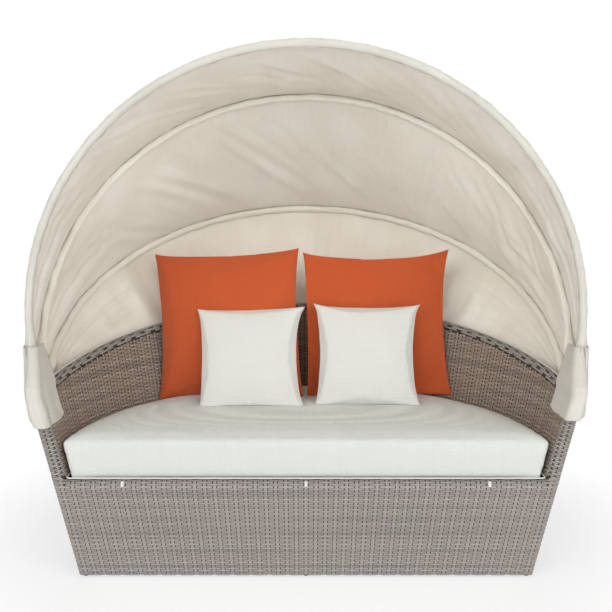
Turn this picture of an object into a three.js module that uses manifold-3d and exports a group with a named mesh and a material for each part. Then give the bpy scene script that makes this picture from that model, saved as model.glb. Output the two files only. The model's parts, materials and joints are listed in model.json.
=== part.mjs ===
// Outdoor daybed with a folding canopy: a half-round wicker base on a tube frame, a seat cushion,
// four pillows, and a canopy of three arched bows that turn about one axis over the arms.
// Millimetres, +Z up. X runs along the straight front, Y runs from the front to the back.
// The origin lies on the floor under the middle front foot.

import * as THREE from 'three';
import { mergeVertices } from 'three/addons/utils/BufferGeometryUtils.js';
import Module from 'manifold-3d';

const wasm = await Module();
wasm.setup();

// Clearances
const seat = 0.4;                    // between two pieces that rest on each other
const boltClearance = 0.3;           // round the shank of a pivot bolt
const cutOverrun = 20;               // how far a cutting tool runs past its piece

// Base
const footHeight = 10;               // underside of the weave above the floor
const footRadius = 10;
const footFlatRadius = 8;            // flat underside of a foot
const footEdge = 2.5;                // height of the rounded edge of a foot
const baseHalfWidth = 677;           // outside of the weave at its lower edge
const wallLeanAngle = 13.4;          // outward lean of the walls, degrees
const seatHeight = 296;              // top of the seat deck
const armHeight = 553;               // top of the rail over the arms
const backHeight = 708;              // top of the rail in the middle of the back
const railRiseShape = 1.25;          // exponent of the rise from the arms to the back
const armCorner = 95;                // radius of the rounded front corner of an arm
const cornerRadius = 10;             // rounded upright edges of the front
const skin = 5;                      // thickness of the woven skins
const frameTube = 25;                // rings and rail
const uprightTube = 22;              // posts, uprights and crossbars
const deckThickness = 5;
const postDrop = 113;                // from the arm's top to the joint of a front post and the rail
const uprightAngles = [30, 60, 90, 120, 150];   // round the back, degrees
const rearFootAngles = [45, 90, 135];
const crossbarSpacing = 350;

// Canopy
const pivotDrop = 58;                // from the arm's top to the pivot
const pivotDepth = 96;               // behind the front face
const bowTube = 16;
const bowGap = 5.64;                 // from the outside of the arm's top to the middle of a bow's leg
const bowLeg = 242;                  // straight leg of a bow, from the pivot
const bowRise = 810;                 // height of the elliptical arch over the legs
const bowAngles = { front: -7, middle: 24.7, rear: 57.2 };   // back from upright, degrees
const strapWidth = 25;
const strapEndWidth = 16;
const strapThickness = 4;
const strapReach = 190;              // from the pivot to the end of the bow's tube
const strapPitch = 6;                // from one strap to the next along the bolt
const boltRadius = 5;
const boltHeadRadius = 12;
const boltHeadThickness = 6;
const bossRadius = 14;
const bossWall = 4;                  // steel left behind the end of the bolt
const gussetThickness = 4;
const gussetReach = 30;              // past the arm corner, along the rail
const washerRadius = 12;
const cloth = 2.4;                   // thickness of the canopy cloth
const clothGap = 1;                  // between the cloth and the tube in its sleeve
const panelStart = 70;               // lower end of the front and middle panels, from the pivot
const rearPanelStart = 130;          // lower end of the rear panel, from the pivot
const rearHemStart = 210;            // front end of the rear hem on the rail, behind the front face
const rearHemDrop = 40;              // how far the rear hem hangs down behind the rail
const panelSag = 12;
const panelFold = 5;
const fullSagRun = 350;              // cloth between nearer lines sags less
const sleeveWrap = 120;              // how far the front panel is wrapped round its bow, degrees
const panelFoldCount = 7;

// Flaps that hang over the pivots
const flapRise = 137;                // over the arm
const flapShoulder = 25;             // how far over the arm the flap starts to close in
const flapFrontDrop = 91;            // from the arm's top to the flap's lower edge in front
const flapInnerDrop = 73;            // and on the inner side
const flapOuterReach = 20.5;         // from the middle of a bow's leg out to the flap
const flapTuck = 15;                 // how far the flap's outer side is drawn in at its lower edge
const flapTopInnerReach = 22;        // from the middle of a bow's leg in to the flap's top
const flapArmGap = 2.3;               // between the flap and the arm's inner side
const flapFrontGap = 16;             // in front of the arm
const flapFrontLeg = 26;             // in front of the bow's leg at the top
const flapOuterDepth = 150;
const flapInnerDepth = 125;
const flapInnerBottomDepth = 35;
const flapCorner = 14;
const flapFold = 4;

// Cushion and pillows
const cushionThickness = 120;
const cushionSideGap = 9.3;           // from the cushion's lower edge to the arms
const cushionBackGap = 10.3;         // and to the back
const cushionFront = 5;
const cushionCorner = 30;
const cushionCrown = 10;
const cushionBulge = 7;              // how far the middle of a side stands out past its seams
const cushionSideInset = 16;         // narrower at the bottom, where the arms come in
const cushionBackInset = 32;         // shorter at the bottom, where the back comes in
const tieWidth = 9;
const tieThickness = 1.6;
const tieDrop = 26;
const tieSpacing = 540;
const orangePillow = { size: 508, heightShare: 1, front: 54, back: 54, lean: 9 };
const whitePillow = { size: 366, heightShare: 0.95, front: 42, back: 18, lean: 22 };
// Sideways places as shares of a pillow's size, depths as shares of the cushion's, turns in degrees
const pillowShares = [
  { name: 'orange_pillow_left', ...orangePillow, across: -0.5059, depth: 0.674, yaw: -6, roll: -3.2 },
  { name: 'orange_pillow_right', ...orangePillow, across: 0.4882, depth: 0.6932, yaw: 5, roll: 0.3 },
  { name: 'white_pillow_left', ...whitePillow, across: -0.5082, depth: 0.48, yaw: -1.5, roll: -0.5 },
  { name: 'white_pillow_right', ...whitePillow, across: 0.5601, depth: 0.4986, yaw: -1, roll: 0.6 },
];
const pillowPress = 9;               // how far a pillow settles into the cushion's place
const pillowPullShare = 0.07;        // how far the middle of a pillow's edge is drawn in
const pillowFullnessShare = 0.42;    // exponent of the swelling towards the middle

// Numbers of facets
const tubeSides = 8;
const cornerSteps = 6;
const railSteps = 32;
const roundSides = 14;
const archSteps = 28;
const legSteps = 3;
const pillowSteps = 12;

// Derived sizes
const rad = THREE.MathUtils.degToRad;
const lean = rad(wallLeanAngle);
const wall = 2 * (skin + seat) + frameTube;
const cavity = frameTube / 2 + seat;                       // from the middle of the wall to a skin
const bottomRingHeight = footHeight + seat + frameTube / 2;
const seatRingHeight = seatHeight - wall / 2;
const deckBottom = seatHeight - deckThickness;
const across = (thickness) => thickness / Math.cos(lean);  // level width of a leaning thickness
const wallRadius = (z) => baseHalfWidth + (z - footHeight) * Math.tan(lean);
const coreRadius = (z) => wallRadius(z) - across(wall / 2);
const seatInside = wallRadius(seatHeight) - across(wall);
const cushionHalfWidth = seatInside - cushionSideGap + cushionSideInset;
const cushionDepth = seatInside - cushionBackGap + cushionBackInset;
const postTop = armHeight - postDrop;
const pivotHeight = armHeight - pivotDrop;
const bowHalfWidth = wallRadius(armHeight) + bowGap;
const flapTop = armHeight + flapRise;
const flapFrontBottom = armHeight - flapFrontDrop;
const flapInnerBottom = armHeight - flapInnerDrop;
const railTop = (angle) => armHeight + (backHeight - armHeight) * Math.sin(angle) ** railRiseShape;
const clothRadius = bowTube / 2 / Math.cos(Math.PI / tubeSides) + clothGap + cloth / 2;
const strapClothRadius = Math.hypot(strapWidth / 2, strapPitch + strapThickness / 2)
  + clothGap + cloth / 2;
const sleeveRadius = (r) => (r < (strapReach + bowLeg) / 2 ? strapClothRadius : clothRadius);

// Materials

function material(color, roughness, metalness = 0) {
  return new THREE.MeshStandardMaterial({ color, roughness, metalness });
}

const wicker = material(0x8f8880, 0.6);
const frameMetal = material(0x4a4642, 0.45, 0.6);
const bowMetal = material(0xb8b4ac, 0.4, 0.7);
const steel = material(0xb4b4b4, 0.35, 1);
const nylon = material(0xe8e6e0, 0.5);
const footPlastic = material(0x161616, 0.5);
const canopyCloth = material(0xe0d6c6, 0.9);
const cushionCloth = material(0xdcdcd6, 0.9);
const orangeCloth = material(0xc95e37, 0.9);
const whiteCloth = material(0xe1dfd9, 0.9);

const daybed = new THREE.Group();
daybed.position.y = -wall / 2;

function addMesh(name, geometry, surface, parent = daybed) {
  const mesh = new THREE.Mesh(geometry, surface);
  mesh.name = name;
  parent.add(mesh);
  return mesh;
}

// Closed bodies from points

function vector(x, y, z) {
  return new THREE.Vector3(x, y, z);
}

function along(start, direction, distance) {
  return start.clone().addScaledVector(direction, distance);
}

function signedVolume(points, faces) {
  return faces.reduce((sum, [a, b, c]) => (
    sum + points[a].dot(points[b].clone().cross(points[c]))), 0);
}

// A closed body with its faces turned outwards.
function body(points, faces) {
  const outward = signedVolume(points, faces) > 0;
  const geometry = new THREE.BufferGeometry();
  geometry.setAttribute('position', new THREE.Float32BufferAttribute(
    points.flatMap((point) => point.toArray()), 3));
  geometry.setIndex(faces.flatMap(([a, b, c]) => (outward ? [a, b, c] : [a, c, b])));
  geometry.computeVertexNormals();
  return geometry;
}

// Triangles over a flat or nearly flat ring of points.
function capFaces(ring, first, flipped) {
  const normal = vector(0, 0, 0);
  ring.forEach((point, k) => normal.add(point.clone().cross(ring[(k + 1) % ring.length])));
  normal.normalize();
  const side = vector(0, 0, 0).subVectors(ring[1], ring[0]).normalize();
  const other = normal.clone().cross(side);
  const flat = ring.map((point) => new THREE.Vector2(point.dot(side), point.dot(other)));
  return THREE.ShapeUtils.triangulateShape(flat, []).map(([a, b, c]) => (
    flipped ? [first + a, first + c, first + b] : [first + a, first + b, first + c]));
}

// A body through a row of rings that all have the same number of points.
function loft(rings, closed = false) {
  const count = rings[0].length;
  const faces = [];
  const spans = closed ? rings.length : rings.length - 1;
  for (let r = 0; r < spans; r += 1) {
    const here = r * count;
    const next = ((r + 1) % rings.length) * count;
    for (let k = 0; k < count; k += 1) {
      const l = (k + 1) % count;
      faces.push([here + k, here + l, next + l], [here + k, next + l, next + k]);
    }
  }
  if (!closed) {
    faces.push(...capFaces(rings[0], 0, true));
    faces.push(...capFaces(rings.at(-1), (rings.length - 1) * count, false));
  }
  return body(rings.flat(), faces);
}

// A sheet of even thickness over a grid of points on its middle surface.
function sheet(grid, thickness) {
  const rows = grid.length;
  const columns = grid[0].length;
  const sides = [[], []];
  for (let i = 0; i < rows; i += 1) {
    for (let j = 0; j < columns; j += 1) {
      const downRows = vector(0, 0, 0).subVectors(
        grid[Math.min(i + 1, rows - 1)][j], grid[Math.max(i - 1, 0)][j]);
      const downColumns = vector(0, 0, 0).subVectors(
        grid[i][Math.min(j + 1, columns - 1)], grid[i][Math.max(j - 1, 0)]);
      const normal = downRows.cross(downColumns).normalize();
      sides[0].push(along(grid[i][j], normal, thickness / 2));
      sides[1].push(along(grid[i][j], normal, -thickness / 2));
    }
  }
  const under = rows * columns;
  const faces = [];
  const quad = (a, b, c, d) => faces.push([a, b, c], [a, c, d]);
  const at = (i, j) => i * columns + j;
  for (let i = 0; i < rows - 1; i += 1) {
    for (let j = 0; j < columns - 1; j += 1) {
      quad(at(i, j), at(i + 1, j), at(i + 1, j + 1), at(i, j + 1));
      quad(under + at(i, j), under + at(i, j + 1), under + at(i + 1, j + 1), under + at(i + 1, j));
    }
  }
  for (let i = 0; i < rows - 1; i += 1) {
    const right = columns - 1;
    quad(at(i, 0), under + at(i, 0), under + at(i + 1, 0), at(i + 1, 0));
    quad(at(i, right), at(i + 1, right), under + at(i + 1, right), under + at(i, right));
  }
  for (let j = 0; j < columns - 1; j += 1) {
    const last = rows - 1;
    quad(at(0, j), at(0, j + 1), under + at(0, j + 1), under + at(0, j));
    quad(at(last, j), under + at(last, j), under + at(last, j + 1), at(last, j + 1));
  }
  return body([...sides[0], ...sides[1]], faces);
}

// The direction of a corner of a tube's section.
function tubeCornerTurn(k) {
  return (k + 1 / 2) * 2 * Math.PI / tubeSides;
}

// A tube's section with flats that touch its round, on two given axes.
function tubeRing(centre, sideways, upwards, diameter) {
  const reach = diameter / 2 / Math.cos(Math.PI / tubeSides);
  return Array.from({ length: tubeSides }, (_, k) => {
    const turn = tubeCornerTurn(k);
    return along(along(centre, sideways, reach * Math.cos(turn)), upwards, reach * Math.sin(turn));
  });
}

function straightTube(start, end, sideways, upwards, diameter) {
  return loft([start, end].map((centre) => tubeRing(centre, sideways, upwards, diameter)));
}

// Cuts and joins

function toSolid(geometry) {
  const bare = geometry.clone();
  bare.deleteAttribute('normal');
  bare.deleteAttribute('uv');
  const merged = mergeVertices(bare);
  return new wasm.Manifold(new wasm.Mesh({
    numProp: 3,
    vertProperties: new Float32Array(merged.attributes.position.array),
    triVerts: new Uint32Array(merged.index.array),
  }));
}

function toGeometry(solid) {
  const mesh = solid.getMesh();
  const geometry = new THREE.BufferGeometry();
  geometry.setAttribute('position', new THREE.Float32BufferAttribute(mesh.vertProperties, 3));
  geometry.setIndex(Array.from(mesh.triVerts));
  geometry.computeVertexNormals();
  return geometry;
}

// A round bar along X.
function barAlongX(radius, from, to) {
  const bar = new THREE.CylinderGeometry(radius, radius, Math.abs(to - from), roundSides);
  bar.rotateZ(Math.PI / 2);
  bar.translate((from + to) / 2, pivotDepth, pivotHeight);
  return bar;
}

// Places on the leaning wall

const UP = vector(0, 0, 1);

function onCore(angle, z) {
  return vector(coreRadius(z) * Math.cos(angle), coreRadius(z) * Math.sin(angle), z);
}

function outwards(angle) {
  return vector(Math.cos(angle) * Math.cos(lean), Math.sin(angle) * Math.cos(lean), -Math.sin(lean));
}

function upTheWall(angle) {
  return vector(Math.cos(angle) * Math.sin(lean), Math.sin(angle) * Math.sin(lean), Math.cos(lean));
}

function mirrored(stations) {
  const other = stations.slice(0, -1).reverse().map((s) => ({ ...s, angle: Math.PI - s.angle }));
  return [...stations, ...other];
}

const coreAngleAt = (y, z) => Math.asin(y / coreRadius(z));
const cornerTop = armHeight - wall / 2;
const railFrom = coreAngleAt(armCorner, cornerTop);
const cornerCentre = railTop(railFrom) - armCorner;

// The line along the arm corners and the rail, in the middle of the wall or set off from it.
function edgeLine(offset = 0) {
  const stations = [];
  const radius = armCorner - wall / 2 + offset;
  for (let k = 0; k <= cornerSteps; k += 1) {
    const turn = k * Math.PI / 2 / cornerSteps;
    const y = armCorner - radius * Math.cos(turn);
    const z = cornerCentre + radius * Math.sin(turn);
    stations.push({ y, z, angle: coreAngleAt(y, z) });
  }
  for (let k = 1; k <= railSteps / 2; k += 1) {
    const share = k / (railSteps / 2);
    const angle = railFrom + (Math.PI / 2 - railFrom) * share;
    stations.push({ share, angle, z: railTop(angle) - wall / 2 + offset });
  }
  return mirrored(stations);
}

// The angle of a station of that line at another height of the wall.
function angleAtFoot(station, radius) {
  const right = station.angle <= Math.PI / 2;
  const from = Math.asin(armCorner / radius);
  const angle = station.share === undefined
    ? Math.asin(station.y / radius)
    : from + (Math.PI / 2 - from) * station.share;
  return right ? angle : Math.PI - angle;
}

// The edge line with its directions: out of the wall, and square to it away from the weave.
function edgeFrames(bottom) {
  const line = edgeLine();
  const leg = { z: bottom, y: wall / 2, angle: coreAngleAt(wall / 2, bottom) };
  const stations = [leg, ...line, { ...leg, angle: Math.PI - leg.angle }];
  const centres = stations.map((s) => onCore(s.angle, s.z));
  return stations.map((s, k) => {
    const end = k === 0 || k === stations.length - 1;
    if (end) {
      const out = vector(Math.cos(s.angle), Math.sin(s.angle), 0).multiplyScalar(across(1));
      return { centre: centres[k], out, away: vector(0, -1, 0) };
    }
    const travel = vector(0, 0, 0).subVectors(centres[k + 1], centres[k - 1]).normalize();
    const out = outwards(s.angle);
    return { centre: centres[k], out, away: out.clone().cross(travel).normalize() };
  });
}

// Frame

// A closed D in a level plane: straight along the front and round at the back.
function ringTube(radius, z, angles) {
  const y = wall / 2;
  const start = Math.asin(y / radius);
  const turns = [start, ...angles, Math.PI - start];
  const centres = turns.map((turn) => vector(radius * Math.cos(turn), radius * Math.sin(turn), z));
  const rings = centres.map((centre, k) => {
    const before = centres.at(k - 1);
    const after = centres[(k + 1) % centres.length];
    const inward = vector(0, 0, 0).subVectors(centre, before).normalize().cross(UP);
    const next = vector(0, 0, 0).subVectors(after, centre).normalize().cross(UP);
    const bisector = inward.clone().add(next).normalize();
    bisector.divideScalar(bisector.dot(inward));
    return tubeRing(centre, bisector, UP, frameTube);
  });
  return loft(rings, true);
}

// The level ring keeps clear of the leaning skin with its corners too.
const tubeCorner = frameTube / 2 * (1 / Math.cos(Math.PI / tubeSides) - 1);
const footRing = coreRadius(bottomRingHeight) - across(tubeCorner);
const legBottom = seatRingHeight + frameTube / 2 + seat;
const wallStations = edgeLine().filter((s) => s.share !== undefined || s.y > wall);

function addRings() {
  const bottomAngles = wallStations.map((s) => angleAtFoot(s, footRing));
  addMesh('bottom_ring', ringTube(footRing, bottomRingHeight, bottomAngles), frameMetal);
  const seatRing = coreRadius(seatRingHeight) - across(uprightTube / 2 + tubeCorner)
    - frameTube / 2 - 2 * seat;
  const seatAngles = wallStations.map((s) => angleAtFoot(s, seatRing));
  addMesh('seat_ring', ringTube(seatRing, seatRingHeight, seatAngles), frameMetal);
  return seatRing;
}

function addTopRail() {
  const frames = edgeFrames(postTop + seat);
  const rings = frames.map((f) => tubeRing(f.centre, f.out, f.away, frameTube));
  addMesh('top_rail', loft(rings), frameMetal);
}

function addFrontPosts() {
  const bottom = bottomRingHeight + frameTube / 2 + seat;
  for (const [name, side] of [['front_post_right', 1], ['front_post_left', -1]]) {
    const rings = [bottom, postTop].map((z) => {
      const centre = vector(side * coreRadius(z) * Math.cos(coreAngleAt(wall / 2, z)), wall / 2, z);
      return tubeRing(centre, vector(across(1), 0, 0), vector(0, 1, 0), uprightTube);
    });
    addMesh(name, loft(rings), frameMetal);
  }
  const top = seatRingHeight - frameTube / 2 - seat;
  addMesh('front_middle_post', straightTube(vector(0, wall / 2, bottom), vector(0, wall / 2, top),
    vector(1, 0, 0), vector(0, 1, 0), uprightTube), frameMetal);
}

// An upright in the wall, level at its foot and cut to the slope of the rail at its top.
function backUpright(angle) {
  const bottom = bottomRingHeight + frameTube / 2 + seat;
  const centreHeight = (turn) => railTop(turn) - wall / 2;
  const sideways = vector(-Math.sin(angle), Math.cos(angle), 0);
  const level = vector(Math.cos(angle), Math.sin(angle), 0).multiplyScalar(across(1));
  const foot = tubeRing(onCore(angle, bottom), level, sideways, uprightTube);
  const z = centreHeight(angle);
  const step = uprightTube / coreRadius(z);
  const slope = (centreHeight(angle + step) - centreHeight(angle - step)) / (2 * uprightTube);
  const end = along(onCore(angle, z), upTheWall(angle), -(frameTube / 2 + 2 * seat));
  const cut = along(sideways, UP, slope);
  return loft([foot, tubeRing(end, outwards(angle), cut, uprightTube)]);
}

function addUprights() {
  uprightAngles.forEach((degrees, k) => {
    addMesh(`back_upright_${k + 1}`, backUpright(rad(degrees)), frameMetal);
  });
}

function addCrossbars(seatRing) {
  const z = deckBottom - seat - uprightTube / 2;
  const front = wall / 2 + frameTube / 2 + seat;
  const inside = seatRing - frameTube / 2 - 2 * seat;
  const bars = [['right', crossbarSpacing], ['middle', 0], ['left', -crossbarSpacing]];
  for (const [name, x] of bars) {
    const start = tubeRing(vector(x, front, z), vector(1, 0, 0), UP, uprightTube);
    const end = start.map((point) => vector(point.x, Math.sqrt(inside ** 2 - point.x ** 2), point.z));
    addMesh(`seat_crossbar_${name}`, loft([start, end]), frameMetal);
  }
}

function footGeometry() {
  const profile = [
    new THREE.Vector2(0, 0),
    new THREE.Vector2(footFlatRadius, 0),
    new THREE.Vector2(footRadius, footEdge),
    new THREE.Vector2(footRadius, footHeight),
    new THREE.Vector2(0, footHeight),
  ];
  const foot = new THREE.LatheGeometry(profile, roundSides);
  foot.rotateX(Math.PI / 2);
  return foot;
}

function addFeet() {
  const x = footRing * Math.cos(Math.asin(wall / 2 / footRing));
  const places = [
    ['foot_front_right', x, wall / 2],
    ['foot_front_middle', 0, wall / 2],
    ['foot_front_left', -x, wall / 2],
  ];
  const names = ['foot_rear_right', 'foot_rear_middle', 'foot_rear_left'];
  rearFootAngles.forEach((degrees, k) => {
    const angle = rad(degrees);
    places.push([names[k], footRing * Math.cos(angle), footRing * Math.sin(angle)]);
  });
  for (const [name, px, py] of places) {
    addMesh(name, footGeometry(), footPlastic).position.set(px, py, 0);
  }
}

// Deck and woven skins

function addDeck() {
  const radius = coreRadius(deckBottom) - across(cavity);
  const front = wall / 2 + seat;
  const start = Math.asin(front / radius);
  const outline = new THREE.Shape();
  outline.absarc(0, 0, radius, start, Math.PI - start, false);
  outline.closePath();
  const deck = new THREE.ExtrudeGeometry(outline, {
    depth: deckThickness, bevelEnabled: false, curveSegments: railSteps,
  });
  addMesh('seat_deck', deck, wicker).position.z = deckBottom;
}

// The woven roll over the front tube of the seat, between the arms.
function addSeatEdge() {
  const inner = cavity / Math.cos(Math.PI / tubeSides);
  const profile = [];
  for (let k = 0; k <= cornerSteps; k += 1) {
    const turn = Math.PI - k * Math.PI / 2 / cornerSteps;
    profile.push([turn, wall / 2]);
  }
  profile.push([Math.PI / 2, cavity], [tubeCornerTurn(2), inner], [tubeCornerTurn(3), inner]);
  profile.push([Math.PI, cavity]);
  const half = wallRadius(seatRingHeight) - across(wall) - seat;
  const ring = (side) => profile.map(([turn, radius]) => {
    const z = seatRingHeight + seat / 2 + radius * Math.sin(turn);
    return vector(side * half, wall / 2 + radius * Math.cos(turn), z);
  });
  addMesh('seat_edge', loft([ring(1), ring(-1)]), wicker);
}

// The front skin in plan: short returns round both corners, rounded outside.
function frontOutline(z) {
  const half = wallRadius(z);
  const end = wall / 2;
  const right = [vector(Math.sqrt(half ** 2 - end ** 2), end, z)];
  for (let k = 0; k <= cornerSteps / 2; k += 1) {
    const turn = k * Math.PI / cornerSteps;
    const x = half - cornerRadius + cornerRadius * Math.cos(turn);
    right.push(vector(x, cornerRadius * (1 - Math.sin(turn)), z));
  }
  const inside = half - across(skin);
  const rightInner = [vector(inside, skin, z), vector(right[0].x - across(skin), end, z)];
  const flip = (points) => points.map((p) => vector(-p.x, p.y, p.z)).reverse();
  return [...right, ...flip(right), ...flip(rightInner), ...rightInner];
}

// The front skin stands higher under the arms than between them, where the edge is rolled.
function addFrontPanel() {
  const panel = toSolid(loft([footHeight, legBottom - seat].map(frontOutline)));
  const width = 2 * (wallRadius(seatRingHeight) - across(wall));
  const rise = cutOverrun + seat;
  const notch = new THREE.BoxGeometry(width, wall, rise);
  notch.translate(0, 0, seatRingHeight - seat + rise / 2);
  addMesh('front_panel', toGeometry(panel.subtract(toSolid(notch))), wicker);
}

// A woven skin between two distances from the middle of the wall.
function wallSkin(bottom, innerFace, outerFace) {
  const rings = edgeLine(-seat).map((station) => {
    const top = onCore(station.angle, station.z);
    const out = outwards(station.angle);
    const low = (face) => {
      const radius = coreRadius(bottom) + across(face);
      const angle = angleAtFoot(station, radius);
      return vector(radius * Math.cos(angle), radius * Math.sin(angle), bottom);
    };
    return [low(outerFace), along(top, out, outerFace), along(top, out, innerFace), low(innerFace)];
  });
  return loft(rings);
}

function addOuterWall() {
  const plain = toSolid(wallSkin(footHeight, cavity, wall / 2));
  const reach = bowHalfWidth + cutOverrun;
  const middle = coreRadius(pivotHeight) - wall;
  const rightHole = toSolid(barAlongX(bossRadius + boltClearance, middle, reach));
  const leftHole = toSolid(barAlongX(bossRadius + boltClearance, -reach, -middle));
  addMesh('outer_wall', toGeometry(plain.subtract(rightHole).subtract(leftHole)), wicker);
}

function addInnerWall() {
  addMesh('inner_wall', wallSkin(seatHeight + seat, -wall / 2, -cavity), wicker);
}

// The wrapped band up the front of each arm and along the rail.
function addRailBraid() {
  const inner = cavity / Math.cos(Math.PI / tubeSides);
  const section = [];
  for (let k = 0; k <= cornerSteps; k += 1) section.push([k * Math.PI / cornerSteps, wall / 2]);
  section.push([Math.PI, cavity]);
  for (let k = tubeSides / 2 - 1; k >= 0; k -= 1) {
    section.push([tubeCornerTurn(k), inner]);
  }
  section.push([0, cavity]);
  const rings = edgeFrames(legBottom).map((frame) => section.map(([turn, radius]) => (
    along(along(frame.centre, frame.out, radius * Math.cos(turn)),
      frame.away, radius * Math.sin(turn)))));
  addMesh('rail_braid', loft(rings), wicker);
}

// Canopy bows and pivots

function bowStations(from) {
  const stations = [];
  for (let k = 0; k < legSteps; k += 1) {
    const r = from + (bowLeg - from) * k / legSteps;
    stations.push({ x: bowHalfWidth, r, tx: 0, tr: 1 });
  }
  for (let k = 0; k <= archSteps; k += 1) {
    const turn = k * Math.PI / archSteps;
    const tx = -bowHalfWidth * Math.sin(turn);
    const tr = bowRise * Math.cos(turn);
    const size = Math.hypot(tx, tr);
    stations.push({
      x: bowHalfWidth * Math.cos(turn), r: bowLeg + bowRise * Math.sin(turn),
      tx: tx / size, tr: tr / size,
    });
  }
  const other = stations.slice(0, legSteps).reverse().map((s) => ({ ...s, x: -s.x, tr: -s.tr }));
  return [...stations, ...other];
}

function strapGeometry() {
  const outline = new THREE.Shape();
  outline.moveTo(strapEndWidth / 2, strapReach);
  outline.lineTo(-strapEndWidth / 2, strapReach);
  outline.lineTo(-strapWidth / 2, strapReach / 2);
  outline.lineTo(-strapWidth / 2, 0);
  outline.absarc(0, 0, strapWidth / 2, Math.PI, 2 * Math.PI, false);
  outline.lineTo(strapWidth / 2, strapReach / 2);
  outline.closePath();
  const hole = new THREE.Path();
  hole.absarc(0, 0, boltRadius + boltClearance, 0, 2 * Math.PI, true);
  outline.holes.push(hole);
  const strap = new THREE.ExtrudeGeometry(outline, {
    depth: strapThickness, bevelEnabled: false, curveSegments: roundSides / 2,
  });
  strap.translate(0, 0, -strapThickness / 2);
  return strap;
}

function addBow(name, layer) {
  const bow = new THREE.Group();
  bow.position.set(0, pivotDepth, pivotHeight);
  bow.rotation.x = -rad(bowAngles[name]);
  daybed.add(bow);
  const rings = bowStations(strapReach + seat).map((s) => (
    tubeRing(vector(s.x, 0, s.r), vector(s.tr, 0, -s.tx), vector(0, 1, 0), bowTube)));
  addMesh(`${name}_bow`, loft(rings), bowMetal, bow);
  for (const [side, sign] of [['right', 1], ['left', -1]]) {
    const strap = addMesh(`${name}_strap_${side}`, strapGeometry(), bowMetal, bow);
    strap.rotation.set(Math.PI / 2, Math.PI / 2, 0);
    strap.position.x = sign * (bowHalfWidth + layer * strapPitch);
  }
}

// A plate in the wall under the arm corner, curved with the wall.
function gusset(side) {
  const radius = armCorner - wall / 2 - frameTube / 2 - 2 * seat;
  const outline = [];
  for (let k = 0; k <= cornerSteps; k += 1) {
    const turn = k * Math.PI / 2 / cornerSteps;
    outline.push([armCorner - radius * Math.cos(turn), cornerCentre + radius * Math.sin(turn)]);
  }
  outline.push([armCorner + gussetReach, cornerCentre + radius]);
  outline.push([armCorner + gussetReach, pivotHeight - gussetReach]);
  const ring = (offset) => outline.map(([y, z]) => {
    const angle = coreAngleAt(y, z);
    const point = along(onCore(angle, z), outwards(angle), offset);
    return vector(side * point.x, point.y, point.z);
  });
  return loft([ring(-gussetThickness / 2), ring(gussetThickness / 2)]);
}

function addPivot(name, side) {
  const inner = Math.sqrt(coreRadius(pivotHeight) ** 2 - pivotDepth ** 2);
  const face = bowHalfWidth - 2 * strapPitch + strapThickness / 2;
  const boss = toSolid(barAlongX(bossRadius, side * inner, side * face));
  const bore = toSolid(barAlongX(boltRadius + boltClearance,
    side * (inner + bossWall), side * (face + cutOverrun)));
  const bracket = toSolid(gusset(side)).add(boss).subtract(bore);
  addMesh(`pivot_bracket_${name}`, toGeometry(bracket), steel);

  const headFace = bowHalfWidth + strapPitch + strapThickness / 2 + seat;
  const shankEnd = inner + bossWall + seat;
  const profile = [
    new THREE.Vector2(0, shankEnd),
    new THREE.Vector2(boltRadius, shankEnd),
    new THREE.Vector2(boltRadius, headFace),
    new THREE.Vector2(boltHeadRadius, headFace),
    new THREE.Vector2(boltHeadRadius, headFace + boltHeadThickness / 2),
    new THREE.Vector2(boltHeadRadius / 2, headFace + boltHeadThickness),
    new THREE.Vector2(0, headFace + boltHeadThickness),
  ];
  const bolt = addMesh(`pivot_bolt_${name}`, new THREE.LatheGeometry(profile, roundSides), steel);
  bolt.position.set(0, pivotDepth, pivotHeight);
  bolt.rotation.z = -side * Math.PI / 2;

  const washerThickness = strapPitch - strapThickness - 2 * seat;
  const section = [
    new THREE.Vector2(boltRadius + boltClearance, -washerThickness / 2),
    new THREE.Vector2(washerRadius, -washerThickness / 2),
    new THREE.Vector2(washerRadius, washerThickness / 2),
    new THREE.Vector2(boltRadius + boltClearance, washerThickness / 2),
    new THREE.Vector2(boltRadius + boltClearance, -washerThickness / 2),
  ];
  ['inner', 'middle', 'outer'].forEach((place, k) => {
    const washer = addMesh(`pivot_washer_${place}_${name}`,
      new THREE.LatheGeometry(section, roundSides), nylon);
    washer.position.set(side * (bowHalfWidth + (k - 3 / 2) * strapPitch), pivotDepth, pivotHeight);
    washer.rotation.z = -side * Math.PI / 2;
  });
}

// Canopy cloth

function bowPoint(station, angle) {
  return vector(station.x, pivotDepth + station.r * Math.sin(angle),
    pivotHeight + station.r * Math.cos(angle));
}

function bowTravel(station, angle) {
  return vector(station.tx, station.tr * Math.sin(angle), station.tr * Math.cos(angle));
}

// The direction out of the canopy, square to a bow and to the cloth's run from a to b.
function outOfCanopy(station, angle, a, b, backShare = 0) {
  const run = vector(0, 0, 0).subVectors(b, a).normalize();
  const out = bowTravel(station, angle).cross(run).normalize();
  const face = vector(station.tr, -station.tx * Math.sin(angle), -station.tx * Math.cos(angle));
  const back = vector(0, Math.cos(angle), -Math.sin(angle));
  return out.dot(along(face, back, backShare)) < 0 ? out.negate() : out;
}

// A point of the cloth round a tube: on its outside, turned by an arc along the run.
function roundTube(centre, out, run, travel, radius, turn) {
  const side = along(run, travel, -run.dot(travel)).normalize();
  return along(along(centre, out, radius * Math.cos(turn)), side, radius * Math.sin(turn));
}

const rowShares = [0.08, 0.25, 0.42, 0.58, 0.75, 0.92];
const foldAt = (share, row) => Math.sin(Math.PI * row) * (
  panelSag + panelFold * Math.sin(2 * Math.PI * panelFoldCount * share));

// Half the angle through which the cloth bends over the middle of three lines.
function halfBend(first, second) {
  return Math.acos(Math.min(1, first.dot(second))) / 2;
}

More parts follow.
